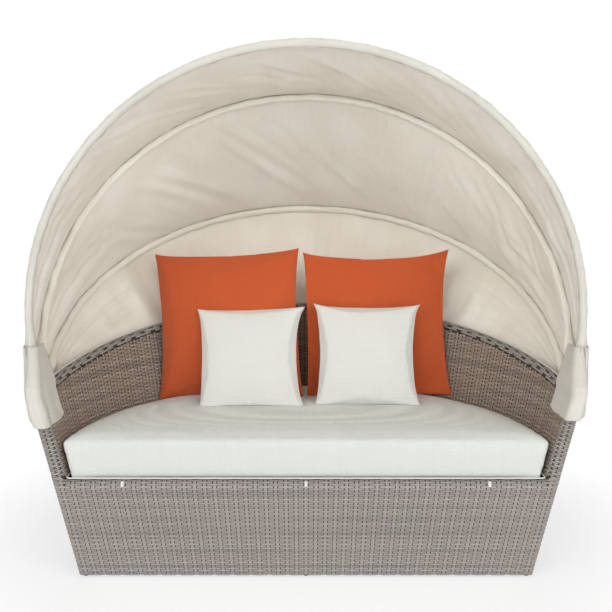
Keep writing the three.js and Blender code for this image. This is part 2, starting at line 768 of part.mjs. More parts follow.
// One column of cloth from bow to bow, with its ends turned over the tubes.
function panelColumn(a, b, out, travel, startTurn, endTurn, radius, share, end) {
  const run = vector(0, 0, 0).subVectors(b, a).normalize();
  const column = [];
  const start = along(a, out, radius);
  const finish = end || along(b, out, radius);
  const edge = (centre, level, turn, sign) => (turn > 0
    ? roundTube(centre, out, run, travel, radius, sign * turn)
    : along(level, run, sign * turn * radius));
  startTurn.forEach((turn) => column.push(edge(a, start, turn, -1)));
  rowShares.forEach((row) => {
    const sag = foldAt(share, row) * Math.min(1, a.distanceTo(b) / fullSagRun) ** 2;
    column.push(along(start.clone().lerp(finish, row), out, -sag));
  });
  endTurn.forEach((turn) => column.push(edge(b, finish, turn, 1)));
  return column;
}

const edgeMargin = 2 * seat / clothRadius;
const bows = {
  front: rad(bowAngles.front), middle: rad(bowAngles.middle), rear: rad(bowAngles.rear),
};
const panelStations = bowStations(panelStart);
const rearStations = bowStations(rearPanelStart);

// The rail's middle line where the rear panel meets it, for a share of the way round a bow.
function rearRailPoint(index) {
  const half = (rearStations.length - 1) / 2;
  const from = coreAngleAt(rearHemStart, cornerTop);
  const share = Math.min(index, 2 * half - index) / half;
  const right = from + (Math.PI / 2 - from) * share;
  const angle = index <= half ? right : Math.PI - right;
  return { angle, point: onCore(angle, railTop(angle) - wall / 2) };
}

function outBetween(station, from, to) {
  return outOfCanopy(station, from, bowPoint(station, from), bowPoint(station, to));
}

function frontPanelGrid() {
  const last = panelStations.length - 1;
  const wraps = [1, 3 / 4, 1 / 2, 1 / 4, 0].map((share) => rad(sleeveWrap) * share);
  return panelStations.map((station, k) => {
    const out = outBetween(station, bows.front, bows.middle);
    const bend = halfBend(out, outBetween(station, bows.middle, bows.rear));
    return panelColumn(bowPoint(station, bows.front), bowPoint(station, bows.middle), out,
      bowTravel(station, bows.front), wraps, [bend - edgeMargin], sleeveRadius(station.r), k / last);
  });
}

function middlePanelGrid() {
  const last = panelStations.length - 1;
  return panelStations.map((station, k) => {
    const out = outBetween(station, bows.middle, bows.rear);
    const before = halfBend(out, outBetween(station, bows.front, bows.middle));
    return panelColumn(bowPoint(station, bows.middle), bowPoint(station, bows.rear), out,
      bowTravel(station, bows.middle), [before - edgeMargin], [-edgeMargin],
      sleeveRadius(station.r), k / last);
  });
}

function rearPanelGrid() {
  const last = rearStations.length - 1;
  const braidRadius = wall / 2 + clothGap + cloth / 2 + seat;
  return rearStations.map((station, k) => {
    const bow = bowPoint(station, bows.rear);
    const { angle, point } = rearRailPoint(k);
    const out = outOfCanopy(station, bows.rear, bow, point, 1);
    const bend = 2 * halfBend(out, outBetween(station, bows.middle, bows.rear)) - edgeMargin;
    const hem = along(point, outwards(angle), braidRadius);
    const turns = [1, 2 / 3, 1 / 3, 0].map((part) => bend * part);
    const column = panelColumn(bow, point, out, bowTravel(station, bows.rear), turns, [],
      sleeveRadius(station.r), k / last, hem);
    column.push(hem);
    column.push(along(hem, upTheWall(angle), -rearHemDrop / 2));
    column.push(along(hem, upTheWall(angle), -rearHemDrop));
    return column;
  });
}

// Flaps

function flapOutline(height) {
  const legDepth = pivotDepth + (height - pivotHeight) * Math.tan(bows.front);
  const shoulder = armHeight + flapShoulder;
  const share = Math.max(0, (height - shoulder) / (flapTop - shoulder));
  const mix = (low, high) => low + (high - low) * share;
  const armInside = wallRadius(Math.min(height, armHeight)) - across(wall) - flapArmGap;
  const innerAt = (y) => mix(Math.sqrt(armInside ** 2 - y ** 2), bowHalfWidth - flapTopInnerReach);
  const inner = innerAt(flapFrontGap);
  const strapBottom = pivotHeight - strapWidth / 2;
  const tuck = Math.max(0, (strapBottom - height) / (strapBottom - flapFrontBottom));
  const outer = bowHalfWidth + flapOuterReach - flapTuck * tuck;
  const front = mix(-flapFrontGap, legDepth - flapFrontLeg);
  const rise = Math.min(1, Math.max(0, (height - flapInnerBottom) / (armHeight - flapInnerBottom)));
  const innerBack = flapInnerBottomDepth + (flapInnerDepth - flapInnerBottomDepth) * rise;
  const corner = (x, turnFrom) => [0, 1, 2].map((k) => {
    const turn = turnFrom + k * Math.PI / 4;
    return [x + flapCorner * Math.cos(turn), front + flapCorner + flapCorner * Math.sin(turn)];
  });
  return [
    [innerAt(innerBack), innerBack],
    [innerAt((innerBack + front + flapCorner) / 2), (innerBack + front + flapCorner) / 2],
    ...corner(inner + flapCorner, Math.PI),
    [(inner + outer) / 2, front],
    ...corner(outer - flapCorner, 3 * Math.PI / 2),
    [outer, (flapOuterDepth + front + flapCorner) / 2],
    [outer, flapOuterDepth],
  ];
}

const flapRowShares = [0, 0.15, 0.3, 0.45, 0.6, 0.75, 0.88, 1];

function flapGrid(side) {
  return flapRowShares.map((row) => {
    const columns = flapOutline(flapTop).length;
    return Array.from({ length: columns }, (_, k) => {
      const bottom = flapInnerBottom + (flapFrontBottom - flapInnerBottom)
        * Math.min(1, 2 * k / (columns - 1));
      const z = bottom + (flapTop - bottom) * row;
      const [x, y] = flapOutline(z)[k];
      const wave = flapFold * (1 - row) * Math.sin(k * Math.PI / 2);
      return k < columns / 2
        ? vector(side * x, y - Math.abs(wave), z)
        : vector(side * (x + Math.abs(wave)), y, z);
    });
  });
}

// Cushion and pillows

// The cushion in plan, from its front right corner round the back. Lower sections are smaller.
function cushionOutline(bulge, lowered, z) {
  const half = cushionHalfWidth - cushionSideInset * lowered + bulge;
  const depth = cushionDepth - cushionBackInset * lowered + bulge;
  const front = cushionFront - bulge;
  const corner = cushionCorner;
  const points = [];
  for (let k = 0; k <= cornerSteps / 2; k += 1) {
    const turn = -Math.PI / 2 + k * Math.PI / cornerSteps;
    points.push([half - corner + corner * Math.cos(turn), front + corner + corner * Math.sin(turn)]);
  }
  const start = Math.asin((front + corner) / depth);
  for (let k = 1; k < railSteps; k += 1) {
    const turn = start + (Math.PI - 2 * start) * k / railSteps;
    points.push([half * Math.cos(turn) / Math.cos(start), depth * Math.sin(turn)]);
  }
  for (let k = cornerSteps / 2; k >= 0; k -= 1) {
    points.push([-points[k][0], points[k][1]]);
  }
  const frontSteps = railSteps / 4;
  for (let k = 1; k < frontSteps; k += 1) {
    points.push([(half - corner) * (2 * k / frontSteps - 1), front]);
  }
  return points.map(([x, y]) => vector(x, y, z));
}

const cushionBottom = seatHeight + seat;
const cushionTop = cushionBottom + cushionThickness;
const sideShares = [0, 0.15, 0.5, 0.85, 1];
const crownShares = [0.93, 0.75, 0.5, 0.25];

function cushionGeometry() {
  const middle = vector(0, cushionDepth / 2, 0);
  const drawnTo = (ring, share, z) => ring.map((point) => {
    const drawn = middle.clone().lerp(point, share);
    return vector(drawn.x, drawn.y, z);
  });
  const low = cushionOutline(0, 1, cushionBottom);
  const rings = [drawnTo(low, crownShares[0], cushionBottom)];
  sideShares.forEach((share) => {
    const bulge = cushionBulge * Math.sin(Math.PI * share) ** (1 / 2);
    const z = cushionBottom + seat + (cushionThickness - seat) * share;
    rings.push(cushionOutline(bulge, 1 - share, z));
  });
  const top = rings.at(-1);
  crownShares.forEach((share) => {
    rings.push(drawnTo(top, share, cushionTop + cushionCrown * (1 - share ** 2) ** (1 / 2)));
  });
  return loft(rings);
}

// A square pillow that stands on its lower edge, with drawn-in edges and pointed corners.
function pillowGeometry({ size, heightShare, front, back }) {
  const half = size / 2;
  const place = (i, j, swell) => {
    const a = 2 * i / pillowSteps - 1;
    const b = 2 * j / pillowSteps - 1;
    const fullness = ((1 - a ** 2) * (1 - b ** 2)) ** pillowFullnessShare;
    const x = half * a * (1 - pillowPullShare * (1 - b ** 2) * a ** 2);
    const z = half * b * (1 - pillowPullShare * (1 - a ** 2) * b ** 2);
    return vector(x, swell * fullness, (half + z) * heightShare);
  };
  const points = [];
  const index = new Map();
  const vertexAt = (i, j, side) => {
    const edge = i === 0 || j === 0 || i === pillowSteps || j === pillowSteps;
    const key = `${i} ${j} ${edge ? 'edge' : side}`;
    if (!index.has(key)) {
      index.set(key, points.length);
      points.push(place(i, j, side === 'front' ? -front : back));
    }
    return index.get(key);
  };
  const faces = [];
  for (let i = 0; i < pillowSteps; i += 1) {
    for (let j = 0; j < pillowSteps; j += 1) {
      const quad = (side) => [[i, j], [i + 1, j], [i + 1, j + 1], [i, j + 1]]
        .map(([p, q]) => vertexAt(p, q, side));
      const [a, b, c, d] = quad('front');
      const [e, f, g, h] = quad('back');
      const diagonal = (2 * i - pillowSteps + 1) * (2 * j - pillowSteps + 1) > 0;
      if (diagonal) {
        faces.push([a, b, d], [b, c, d], [e, h, f], [f, h, g]);
      } else {
        faces.push([a, b, c], [a, c, d], [e, g, f], [e, h, g]);
      }
    }
  }
  return body(points, faces);
}

// The least room between a placed pillow's points and the cushion under them.
function roomUnder(geometry, support) {
  const ray = new THREE.Raycaster();
  const positions = geometry.attributes.position;
  let least = Infinity;
  for (let k = 0; k < positions.count; k += 1) {
    ray.set(vector(0, 0, 0).fromBufferAttribute(positions, k), vector(0, 0, -1));
    const [hit] = ray.intersectObject(support);
    if (hit) least = Math.min(least, hit.distance);
  }
  return least;
}

// Each pillow stands on the cushion, and its lower edge is pressed flat there.
function addPillows(cushion) {
  const pressed = toSolid(cushion.clone().translate(0, 0, seat));
  for (const pillow of pillowShares) {
    const surface = pillow.name.startsWith('orange') ? orangeCloth : whiteCloth;
    const turn = new THREE.Euler(-rad(pillow.lean), rad(pillow.roll), rad(pillow.yaw), 'ZXY');
    const placed = pillowGeometry(pillow);
    placed.applyMatrix4(new THREE.Matrix4().makeRotationFromEuler(turn));
    placed.translate(pillow.across * pillow.size, pillow.depth * cushionDepth,
      cushionTop + 2 * cushionCrown);
    placed.translate(0, 0, -roomUnder(placed, new THREE.Mesh(cushion)) - pillowPress);
    addMesh(pillow.name, toGeometry(toSolid(placed).subtract(pressed)), surface);
  }
}

// A cloth tie that hangs from the cushion's lower seam over the rolled front edge.
function tieGeometry() {
  const ring = (x) => {
    const outer = [
      [cushionFront, cushionBottom - seat / 2], [0, seatRingHeight + wall / 3],
      [-seat, seatRingHeight], [-seat, cushionBottom - tieDrop],
    ];
    const thick = outer.map(([y, z]) => [y - tieThickness, z]).reverse();
    return [...outer, ...thick].map(([y, z]) => vector(x, y, z));
  };
  return loft([ring(-tieWidth / 2), ring(tieWidth / 2)]);
}

function addTies() {
  for (const [name, x] of [['left', -tieSpacing], ['middle', 0], ['right', tieSpacing]]) {
    addMesh(`cushion_tie_${name}`, tieGeometry(), whiteCloth).position.x = x;
  }
}

addCrossbars(addRings());
addTopRail();
addFrontPosts();
addUprights();
addFeet();
addDeck();
addSeatEdge();
addFrontPanel();
addOuterWall();
addInnerWall();
addRailBraid();
addPivot('right', 1);
addPivot('left', -1);
addBow('front', 1);
addBow('middle', 0);
addBow('rear', -1);
addMesh('canopy_front_panel', sheet(frontPanelGrid(), cloth), canopyCloth);
addMesh('canopy_middle_panel', sheet(middlePanelGrid(), cloth), canopyCloth);
addMesh('canopy_rear_panel', sheet(rearPanelGrid(), cloth), canopyCloth);
addMesh('pivot_flap_right', sheet(flapGrid(1), cloth), canopyCloth);
addMesh('pivot_flap_left', sheet(flapGrid(-1), cloth), canopyCloth);
const cushion = cushionGeometry();
addMesh('seat_cushion', cushion, cushionCloth);
addPillows(cushion);
addTies();

export default daybed;
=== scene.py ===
# %% [markdown]
# # An outdoor daybed with a folding canopy
# The daybed is a half-round wicker base with a thick seat cushion, four pillows and a cloth canopy
# on three arched bows. The measured solids are loaded first and are never moved. Each step below
# dresses one part of them: weave, cloth, padding, then light and camera. All sizes are in metres.

# %% Load the measured solids
import json
import math
import bpy
import bmesh
import numpy as np
from mathutils import Vector, Matrix, noise
from mathutils.bvhtree import BVHTree


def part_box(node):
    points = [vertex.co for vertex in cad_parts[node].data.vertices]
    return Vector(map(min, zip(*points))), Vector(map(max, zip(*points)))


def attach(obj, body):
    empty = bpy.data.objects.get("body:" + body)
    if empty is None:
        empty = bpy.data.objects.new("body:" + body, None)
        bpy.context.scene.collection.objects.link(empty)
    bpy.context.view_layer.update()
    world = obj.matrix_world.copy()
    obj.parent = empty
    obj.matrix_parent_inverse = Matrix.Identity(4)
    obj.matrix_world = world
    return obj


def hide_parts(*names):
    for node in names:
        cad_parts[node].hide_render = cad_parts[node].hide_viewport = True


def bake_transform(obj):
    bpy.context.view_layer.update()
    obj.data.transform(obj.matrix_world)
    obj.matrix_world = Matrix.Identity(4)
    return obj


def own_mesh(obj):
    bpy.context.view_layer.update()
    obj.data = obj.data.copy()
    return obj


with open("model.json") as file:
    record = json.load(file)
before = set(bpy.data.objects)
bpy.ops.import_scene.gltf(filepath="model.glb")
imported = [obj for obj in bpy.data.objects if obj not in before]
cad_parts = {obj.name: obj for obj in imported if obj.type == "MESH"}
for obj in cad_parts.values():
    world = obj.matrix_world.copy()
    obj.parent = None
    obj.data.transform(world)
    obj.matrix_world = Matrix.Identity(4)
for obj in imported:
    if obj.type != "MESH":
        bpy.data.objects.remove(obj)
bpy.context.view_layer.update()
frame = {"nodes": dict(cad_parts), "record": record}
bpy.ops.object.select_all(action="DESELECT")

# %% [markdown]
# ## The camera
# The camera stands in front of the daybed, a little over the pillows, and looks slightly down.
# It comes first, so that every later step can be looked at from the same place.

# %% Place the camera
CAMERA_PLACE = (0, -2.4149, 1.164)
CAMERA_PITCH = math.radians(8.2)

camera_data = bpy.data.cameras.new("camera")
camera_data.lens = 50
camera_data.sensor_width = 36
camera = bpy.data.objects.new("camera", camera_data)
camera.location = CAMERA_PLACE
camera.rotation_euler = (math.pi / 2 - CAMERA_PITCH, 0, 0)
bpy.context.collection.objects.link(camera)
bpy.context.scene.camera = camera
print("camera lens", camera_data.lens)

# %% [markdown]
# ## The shape that everything follows
# The walls are part of one leaning cone. A place on them is given by an angle round the back, a
# height and a distance out of the middle of the wall. The rail rises from the arms to the back.

# %% Sizes of the base
FRONT = 0.0179              # the front face stands this far before the origin
FOOT = 0.010                # underside of the weave
FOOT_RADIUS = 0.677         # outside of the weave at its lower edge
LEAN = math.radians(13.4)
WALL = 0.0358
SEAT = 0.296
ARM = 0.553
BACK = 0.708
RISE_SHAPE = 1.25
ARM_CORNER = 0.095
ROLL_HEIGHT = SEAT - WALL / 2
FRONT_CORNER = 0.010


def outer_radius(z):
    return FOOT_RADIUS + (z - FOOT) * math.tan(LEAN)


def core_radius(z):
    return outer_radius(z) - WALL / 2 / math.cos(LEAN)


def rail_top(angle):
    return ARM + (BACK - ARM) * np.clip(np.sin(angle), 0, 1) ** RISE_SHAPE


def on_wall(angle, z, offset):
    """Points on the leaning wall, for arrays of angles, heights and distances out of its middle."""
    reach = core_radius(z) + offset * math.cos(LEAN)
    return np.stack([reach * np.cos(angle), reach * np.sin(angle) - FRONT,
                     z - offset * math.sin(LEAN)], axis=-1)


def wall_out(angle):
    """The direction straight out of the wall, for an array of angles."""
    return np.stack([np.cos(angle) * math.cos(LEAN), np.sin(angle) * math.cos(LEAN),
                     np.full(len(angle), -math.sin(LEAN))], axis=-1)


def wall_up(angle):
    return np.stack([np.cos(angle) * math.sin(LEAN), np.sin(angle) * math.sin(LEAN),
                     np.full(len(angle), math.cos(LEAN))], axis=-1)


def core_angle(y, z):
    return np.arcsin(y / core_radius(z))


print("radius at the arm tops:", round(outer_radius(ARM), 4))

# %% [markdown]
# ## Helpers for meshes
# Most pieces are made from a primitive that is shaped in edit mode and repeated with Array
# modifiers. These helpers select one piece, read and write its points, and hand it to its body.

# %% Mesh helpers
SAME_POINT = 0.0001         # copies of a piece join where their points are closer than this
SAME_SEAM = 0.00005


def select_only(piece):
    bpy.ops.object.select_all(action="DESELECT")
    piece.select_set(True)
    bpy.context.view_layer.objects.active = piece


def just_made(name):
    piece = bpy.context.object
    piece.name = name
    return piece


def read_points(piece, what="co"):
    flat = np.empty(len(piece.data.vertices) * 3)
    piece.data.vertices.foreach_get(what, flat)
    return flat.reshape(-1, 3)


def write_points(piece, points):
    piece.data.vertices.foreach_set("co", np.ascontiguousarray(points, dtype=np.float32).ravel())
    piece.data.update()


def carry(piece, name, values):
    """Stores a vector for each point of a piece, for its finish to read."""
    store = piece.data.attributes.new(name, "FLOAT_VECTOR", "POINT")
    store.data.foreach_set("vector", values.astype(np.float32).ravel())


def apply_modifier(piece, kind, **settings):
    modifier = piece.modifiers.new("step", kind)
    for key, value in settings.items():
        setattr(modifier, key, value)
    select_only(piece)
    bpy.ops.object.modifier_apply(modifier=modifier.name)


def repeat(piece, count, step, joined=False):
    """Makes a row of a piece, each copy one step further."""
    apply_modifier(piece, "ARRAY", count=count, use_relative_offset=False, use_constant_offset=True,
                   constant_offset_displace=step, use_merge_vertices=joined, merge_threshold=SAME_POINT)


def edit_all(piece, operation, **settings):
    """Runs an operation of edit mode on all points of a piece."""
    select_only(piece)
    bpy.ops.object.mode_set(mode="EDIT")
    bpy.ops.mesh.select_all(action="SELECT")
    operation(**settings)
    bpy.ops.object.mode_set(mode="OBJECT")


def outwards_everywhere(piece):
    edit_all(piece, bpy.ops.mesh.normals_make_consistent, inside=False)


def smooth(piece, angle=180):
    select_only(piece)
    bpy.ops.object.shade_smooth_by_angle(angle=math.radians(angle))


def dress(piece, material):
    piece.data.materials.clear()
    piece.data.materials.append(material)


def finish_piece(piece, material, slot, body, *nodes):
    """Gives a piece its material, the body it moves with and the nodes it stands for. Its slot is not
    used.
    """
    dress(piece, material)
    if body:
        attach(piece, body)
    if nodes:
        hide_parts(*nodes)
    print(piece.name, "has", sum(len(face.vertices) - 2 for face in piece.data.polygons), "triangles")


def uneven(x, y, seed):
    """Smooth noise about zero, the same on every run."""
    return noise.noise(Vector((x, y, seed)))


def unit(vectors):
    return vectors / np.linalg.norm(vectors, axis=-1, keepdims=True)


def run_along(points):
    """How far along a line each of its points is."""
    return np.concatenate([[0], np.cumsum(np.linalg.norm(np.diff(points, axis=0), axis=1))])


# %% [markdown]
# ## Helpers for finishes
# A finish is a small node tree. One class wraps a socket, so that sums and products of patterns are
# written as plain Python. The other builds nodes and feeds the surface shader.

# %% Shader helpers
class Wire:
    """A socket of a node tree that takes part in arithmetic."""

    def __init__(self, finish, socket):
        self.finish = finish
        self.socket = socket

    def maths(self, operation, *values):
        node = self.finish.node("ShaderNodeMath", {"operation": operation}, dict(enumerate(values)))
        return Wire(self.finish, node.outputs[0])

    def __add__(self, other):
        return self.maths("ADD", self, other)

    def __sub__(self, other):
        return self.maths("SUBTRACT", self, other)

    def __mul__(self, other):
        return self.maths("MULTIPLY", self, other)

    def sine(self):
        return self.maths("SINE", self)

    def floor(self):
        return self.maths("FLOOR", self)

    def span(self, low, high):
        """This value stretched so that low becomes 0 and high becomes 1, and held between them."""
        node = self.finish.node("ShaderNodeMapRange", {"clamp": True},
                                {0: self, 1: low, 2: high, 3: 0.0, 4: 1.0})
        return Wire(self.finish, node.outputs[0])


class Finish:
    """A material with its surface shader, and short ways to add patterns to it."""

    def __init__(self, name, **fixed):
        self.material = bpy.data.materials.new(name)
        self.material.use_nodes = True
        self.tree = self.material.node_tree
        self.shader = self.tree.nodes["Principled BSDF"]
        for socket, value in fixed.items():
            self.shader.inputs[socket.replace("_", " ")].default_value = value

    def node(self, kind, settings=None, inputs=None):
        node = self.tree.nodes.new(kind)
        for key, value in (settings or {}).items():
            setattr(node, key, value)
        for key, value in (inputs or {}).items():
            self.feed(node.inputs[key], value)
        return node

    def feed(self, socket, value):
        if isinstance(value, Wire):
            self.tree.links.new(value.socket, socket)
        else:
            socket.default_value = value

    def wire(self, node, output=0):
        return Wire(self, node.outputs[output])

    def place(self, attribute=None):
        """The place on the piece, or a value that the piece's points carry."""
        if attribute:
            return self.wire(self.node("ShaderNodeAttribute", {"attribute_name": attribute}), 1)
        return self.wire(self.node("ShaderNodeTexCoord"), 3)

    def parts(self, vector):
        node = self.node("ShaderNodeSeparateXYZ", None, {0: vector})
        return [self.wire(node, k) for k in range(3)]

    def grain(self, vector, stretch, scale=1.0, detail=2.0):
        """Noise over a place, finer where its stretch is larger."""
        mapped = self.wire(self.node("ShaderNodeMapping", None, {0: vector, 3: stretch}))
        return self.wire(self.node("ShaderNodeTexNoise", None,
                                   {"Vector": mapped, "Scale": scale, "Detail": detail}))

    def mix(self, factor, first, second):
        node = self.node("ShaderNodeMix", {"data_type": "RGBA"}, {0: factor, 6: first, 7: second})
        return self.wire(node, 2)

    def random(self, value):
        """A number from 0 to 1 that differs for each whole value."""
        node = self.node("ShaderNodeTexWhiteNoise", {"noise_dimensions": "1D"}, {1: value})
        return self.wire(node)

    def colour(self, value):
        self.feed(self.shader.inputs["Base Color"], value)

    def rough(self, value):
        self.feed(self.shader.inputs["Roughness"], value)

    def bump(self, height, distance, strength=1.0):
        node = self.node("ShaderNodeBump", None,
                         {"Height": height, "Distance": distance, "Strength": strength})
        self.feed(self.shader.inputs["Normal"], self.wire(node))


def paint(red, green, blue):
    """A colour as seen on a screen, from 0 to 255, as the shader takes it."""
    def linear(value):
        value = value / 255
        return value / 12.92 if value <= 0.04045 else ((value + 0.055) / 1.055) ** 2.4
    return (linear(red), linear(green), linear(blue), 1.0)


# %% [markdown]
# ## Finish of the wicker
# The strands are flat resin with fine streaks along them, and each one has its own grey-brown tone.
# The points of the weave carry their place along and across the strands, and the finish reads that.

# %% Wicker finishes
ROW = 0.0063                # from one strand to the next above it
STAKE = 0.028               # from one upright stake to the next
MIDDLE = (0.3, 0.7)         # most values of the noise lie between these


def strand_finish(name, light, dark, warm):
    finish = Finish(name, Specular_IOR_Level=0.35)
    place = finish.place("grain")
    along, across, _ = finish.parts(place)
    own = finish.random((across + 0.5).floor())
    streaks = finish.grain(place, (14, 5, 1), 1.0, 3.0).span(*MIDDLE)
    patches = finish.grain(place, (2.5, 0.12, 1), 1.0, 1.0).span(0.35, 0.65)
    base = finish.mix(own * 0.6 + streaks * 0.4, paint(*dark), paint(*light))
    finish.colour(finish.mix(patches * 0.45, base, paint(*warm)))
    finish.rough(streaks * 0.15 + 0.5)
    finish.bump(streaks + (along * 2600).sine() * 0.15, 0.0003)
    return finish.material


STRAND = strand_finish("wicker_strand", (162, 157, 153), (117, 112, 107), (150, 143, 137))
INNER_STRAND = strand_finish("wicker_strand_inside", (176, 162, 148), (108, 97, 87), (148, 128, 113))


# A dark sheet on the skins behind the weave: painted shade for the dark gaps between the strands. Its rows
# and stakes are drawn in darker and lighter painted shade.
def weave_gap_shade_finish():
    finish = Finish("wicker_gap_shade", Roughness=0.8, Specular_IOR_Level=0.2)
    x, y, z = finish.parts(finish.place())
    rows = (z * (2 * math.pi / ROW)).sine()
    stakes = ((x + y) * (2 * math.pi / STAKE)).sine()
    finish.colour(finish.mix((rows * stakes).span(-1, 1), paint(50, 45, 40), paint(72, 65, 58)))
    finish.bump(rows * stakes, 0.001)
    return finish.material


WEAVE_GAP_SHADE = weave_gap_shade_finish()
print("wicker finishes made")

# %% [markdown]
# ## The weave
# The wicker is a plain weave: flat strands run along the wall and pass in front of one upright stake
# and behind the next, and the next row does the opposite. It could be only a bump pattern, but at
# the edges of the arms the strands show as real shapes, so they are made here. One strand over two
# stakes is modelled flat, repeated with Array modifiers, and then laid onto the wall.

# %% A flat piece of weave
STRAND_SIDES = 6
STRAND_HALF_SHARE = 0.43    # half the width of a strand, in rows
STRAND_HALF = 0.0009        # half the thickness of a strand
STRAND_WAVE = 0.0017        # how far a strand swings out and in
DIP_STARTS, DIP_ENDS = 0.66, 0.78   # where a strand goes down behind a stake, in stakes
STAKE_SIDES = 8
STAKE_HALF_SHARE = 0.17     # half the width of a stake, in stakes
STAKE_HALF = 0.0012         # half the thickness of a stake
STAKE_STEPS = {True: 40, False: 8}  # steps of a stake over its height, where it bends and where not
TRIM_SLACK = 0.001
FLAT_ANGLE = 60             # edges sharper than this many degrees stay sharp


def strand_stations(fine):
    """Places along a strand over two stakes, and how far out it stands at each of them."""
    outer = [DIP_STARTS / 2, DIP_STARTS] if fine else [DIP_STARTS]
    there = [(x, 1) for x in outer] + [(DIP_ENDS, -1)]
    back = [(2 - x, swing) for x, swing in reversed(there)]
    return there + back + [(2, 1)]


def strand_over_two_stakes(name, fine):
    """A flat strand along X from one stake to the next but one. X is in stakes and Y in rows."""
    bpy.ops.mesh.primitive_circle_add(vertices=STRAND_SIDES, radius=1, rotation=(0, math.pi / 2, 0),
                                      location=(0, 0, STRAND_WAVE))
    strand = just_made(name)
    bpy.ops.object.transform_apply(location=True, rotation=True, scale=True)
    points = read_points(strand)
    points[:, 1] *= STRAND_HALF_SHARE
    points[:, 2] = STRAND_WAVE + (points[:, 2] - STRAND_WAVE) * STRAND_HALF
    write_points(strand, points)

    def draw_out():
        x, swing = 0, 1
        for next_x, next_swing in strand_stations(fine):
            move = {"value": (next_x - x, 0, (next_swing - swing) * STRAND_WAVE)}
            bpy.ops.mesh.extrude_region_move(TRANSFORM_OT_translate=move)
            x, swing = next_x, next_swing

    edit_all(strand, draw_out)
    return strand


def flat_strands(name, stakes, rows, fine):
    """Rows of strands with every other row one stake further along."""
    strands = strand_over_two_stakes(name, fine)
    repeat(strands, int(stakes / 2) + 2, (2, 0, 0), joined=True)
    edit_all(strands, bpy.ops.mesh.duplicate_move, TRANSFORM_OT_translate={"value": (-1, 1, 0)})
    repeat(strands, int(rows / 2) + 1, (0, 2, 0))
    return strands


def trim(piece, outside):
    """Deletes the points of a piece that a test on its flat place names."""
    points = read_points(piece)
    lost = outside(points[:, 0], points[:, 1])
    mesh = bmesh.new()
    mesh.from_mesh(piece.data)
    mesh.verts.ensure_lookup_table()
    bmesh.ops.delete(mesh, geom=[mesh.verts[k] for k in np.flatnonzero(lost)], context="VERTS")
    mesh.to_mesh(piece.data)
    mesh.free()


def flat_stakes(name, stakes, top_of, fine):
    """Upright stakes between the strands, each as tall as the weave is there."""
    step = 1 / STAKE_STEPS[fine]
    bpy.ops.mesh.primitive_cylinder_add(vertices=STAKE_SIDES, radius=1, depth=step,
                                        end_fill_type="NOTHING", rotation=(math.pi / 2, 0, 0),
                                        location=(0, step / 2, 0))
    rod = just_made(name)
    bpy.ops.object.transform_apply(location=True, rotation=True, scale=True)
    rod.scale = (STAKE_HALF_SHARE, 1, STAKE_HALF)
    bpy.ops.object.transform_apply(location=True, rotation=True, scale=True)
    repeat(rod, STAKE_STEPS[fine], (0, step, 0), joined=True)
    repeat(rod, int(stakes) + 1, (1, 0, 0))
    points = read_points(rod)
    points[:, 1] *= top_of(np.clip(np.round(points[:, 0]), 0, stakes))
    write_points(rod, points)
    return rod


def weave(name, stakes, rows, lay, material, top_of=None, with_stakes=True, lift=0.0, fine=True):
    """A woven piece. lay turns stake, row and height over the skin into places on the daybed."""
    limit = top_of or (lambda s: np.full(np.shape(s), float(rows)))
    strands = flat_strands(name, stakes, rows, fine)
    trim(strands, lambda s, t: (s < -TRIM_SLACK) | (s > stakes + TRIM_SLACK) | (t > limit(s)))
    parts = [strands]
    if with_stakes:
        parts.append(flat_stakes(name + "_stakes", stakes, limit, fine))
    for part in parts:
        flat = read_points(part)
        carry(part, "grain", flat * (STAKE, 1, 1))
        write_points(part, lay(flat[:, 0], flat[:, 1], flat[:, 2] + lift))
    bpy.ops.object.select_all(action="DESELECT")
    for part in parts:
        part.select_set(True)
    bpy.context.view_layer.objects.active = strands
    bpy.ops.object.join()
    outwards_everywhere(strands)
    smooth(strands, FLAT_ANGLE)
    finish_piece(strands, material, "wicker", "base")


# %% [markdown]
# ## The front
# The rows of the front run from corner to corner and over the roll at the front edge of the seat.
# The wall leans outwards, so the stakes fan out a little towards the top.

# %% Weave the front
FRONT_HALF = outer_radius(SEAT / 2)
FRONT_STAKES = 2 * round(FRONT_HALF / STAKE)
FACE_ROWS = (ROLL_HEIGHT - FOOT) / ROW
ROLL_ROWS = math.pi / 2 * WALL / 2 / ROW
ROWS_LEFT_OFF = 0.2         # where the roll meets the cushion, in rows
BAND_LAP = 0.4              # how far the rows at the arms go under their bands, in rows
BAND_ROOM = 0.004
LEG_BOTTOM = SEAT + 0.013


def between_arms(s):
    reach = outer_radius(SEAT)
    return np.abs(2 * s / FRONT_STAKES - 1) * reach < reach - WALL - BAND_ROOM


def lay_front(s, t, h):
    """From stakes, rows and height to the front face, its two corners and the roll over its edge."""
    rows_up = t * ROW
    over = np.where(between_arms(s), np.maximum(rows_up - (ROLL_HEIGHT - FOOT), 0) / (WALL / 2), 0)
    z = FOOT + rows_up - over * WALL / 2
    share = 2 * s / FRONT_STAKES - 1
    half = outer_radius(z) - FRONT_CORNER * (1 - math.pi / 4) + WALL / 2 - FRONT_CORNER
    run = np.abs(share) * half
    straight = outer_radius(z) - FRONT_CORNER
    turn = np.clip((run - straight) / FRONT_CORNER, 0, math.pi / 2)
    back = np.maximum(run - straight - FRONT_CORNER * math.pi / 2, 0)
    radius = FRONT_CORNER + h
    side = np.minimum(run, straight) + radius * np.sin(turn)
    depth = FRONT_CORNER - radius * np.cos(turn) + back
    rolled = over > 0
    roll = WALL / 2 + h
    depth = np.where(rolled, WALL / 2 - roll * np.cos(over), depth)
    height = np.where(rolled, ROLL_HEIGHT + roll * np.sin(over), z)
    return np.stack([np.sign(share) * side, depth - FRONT, height], axis=-1)


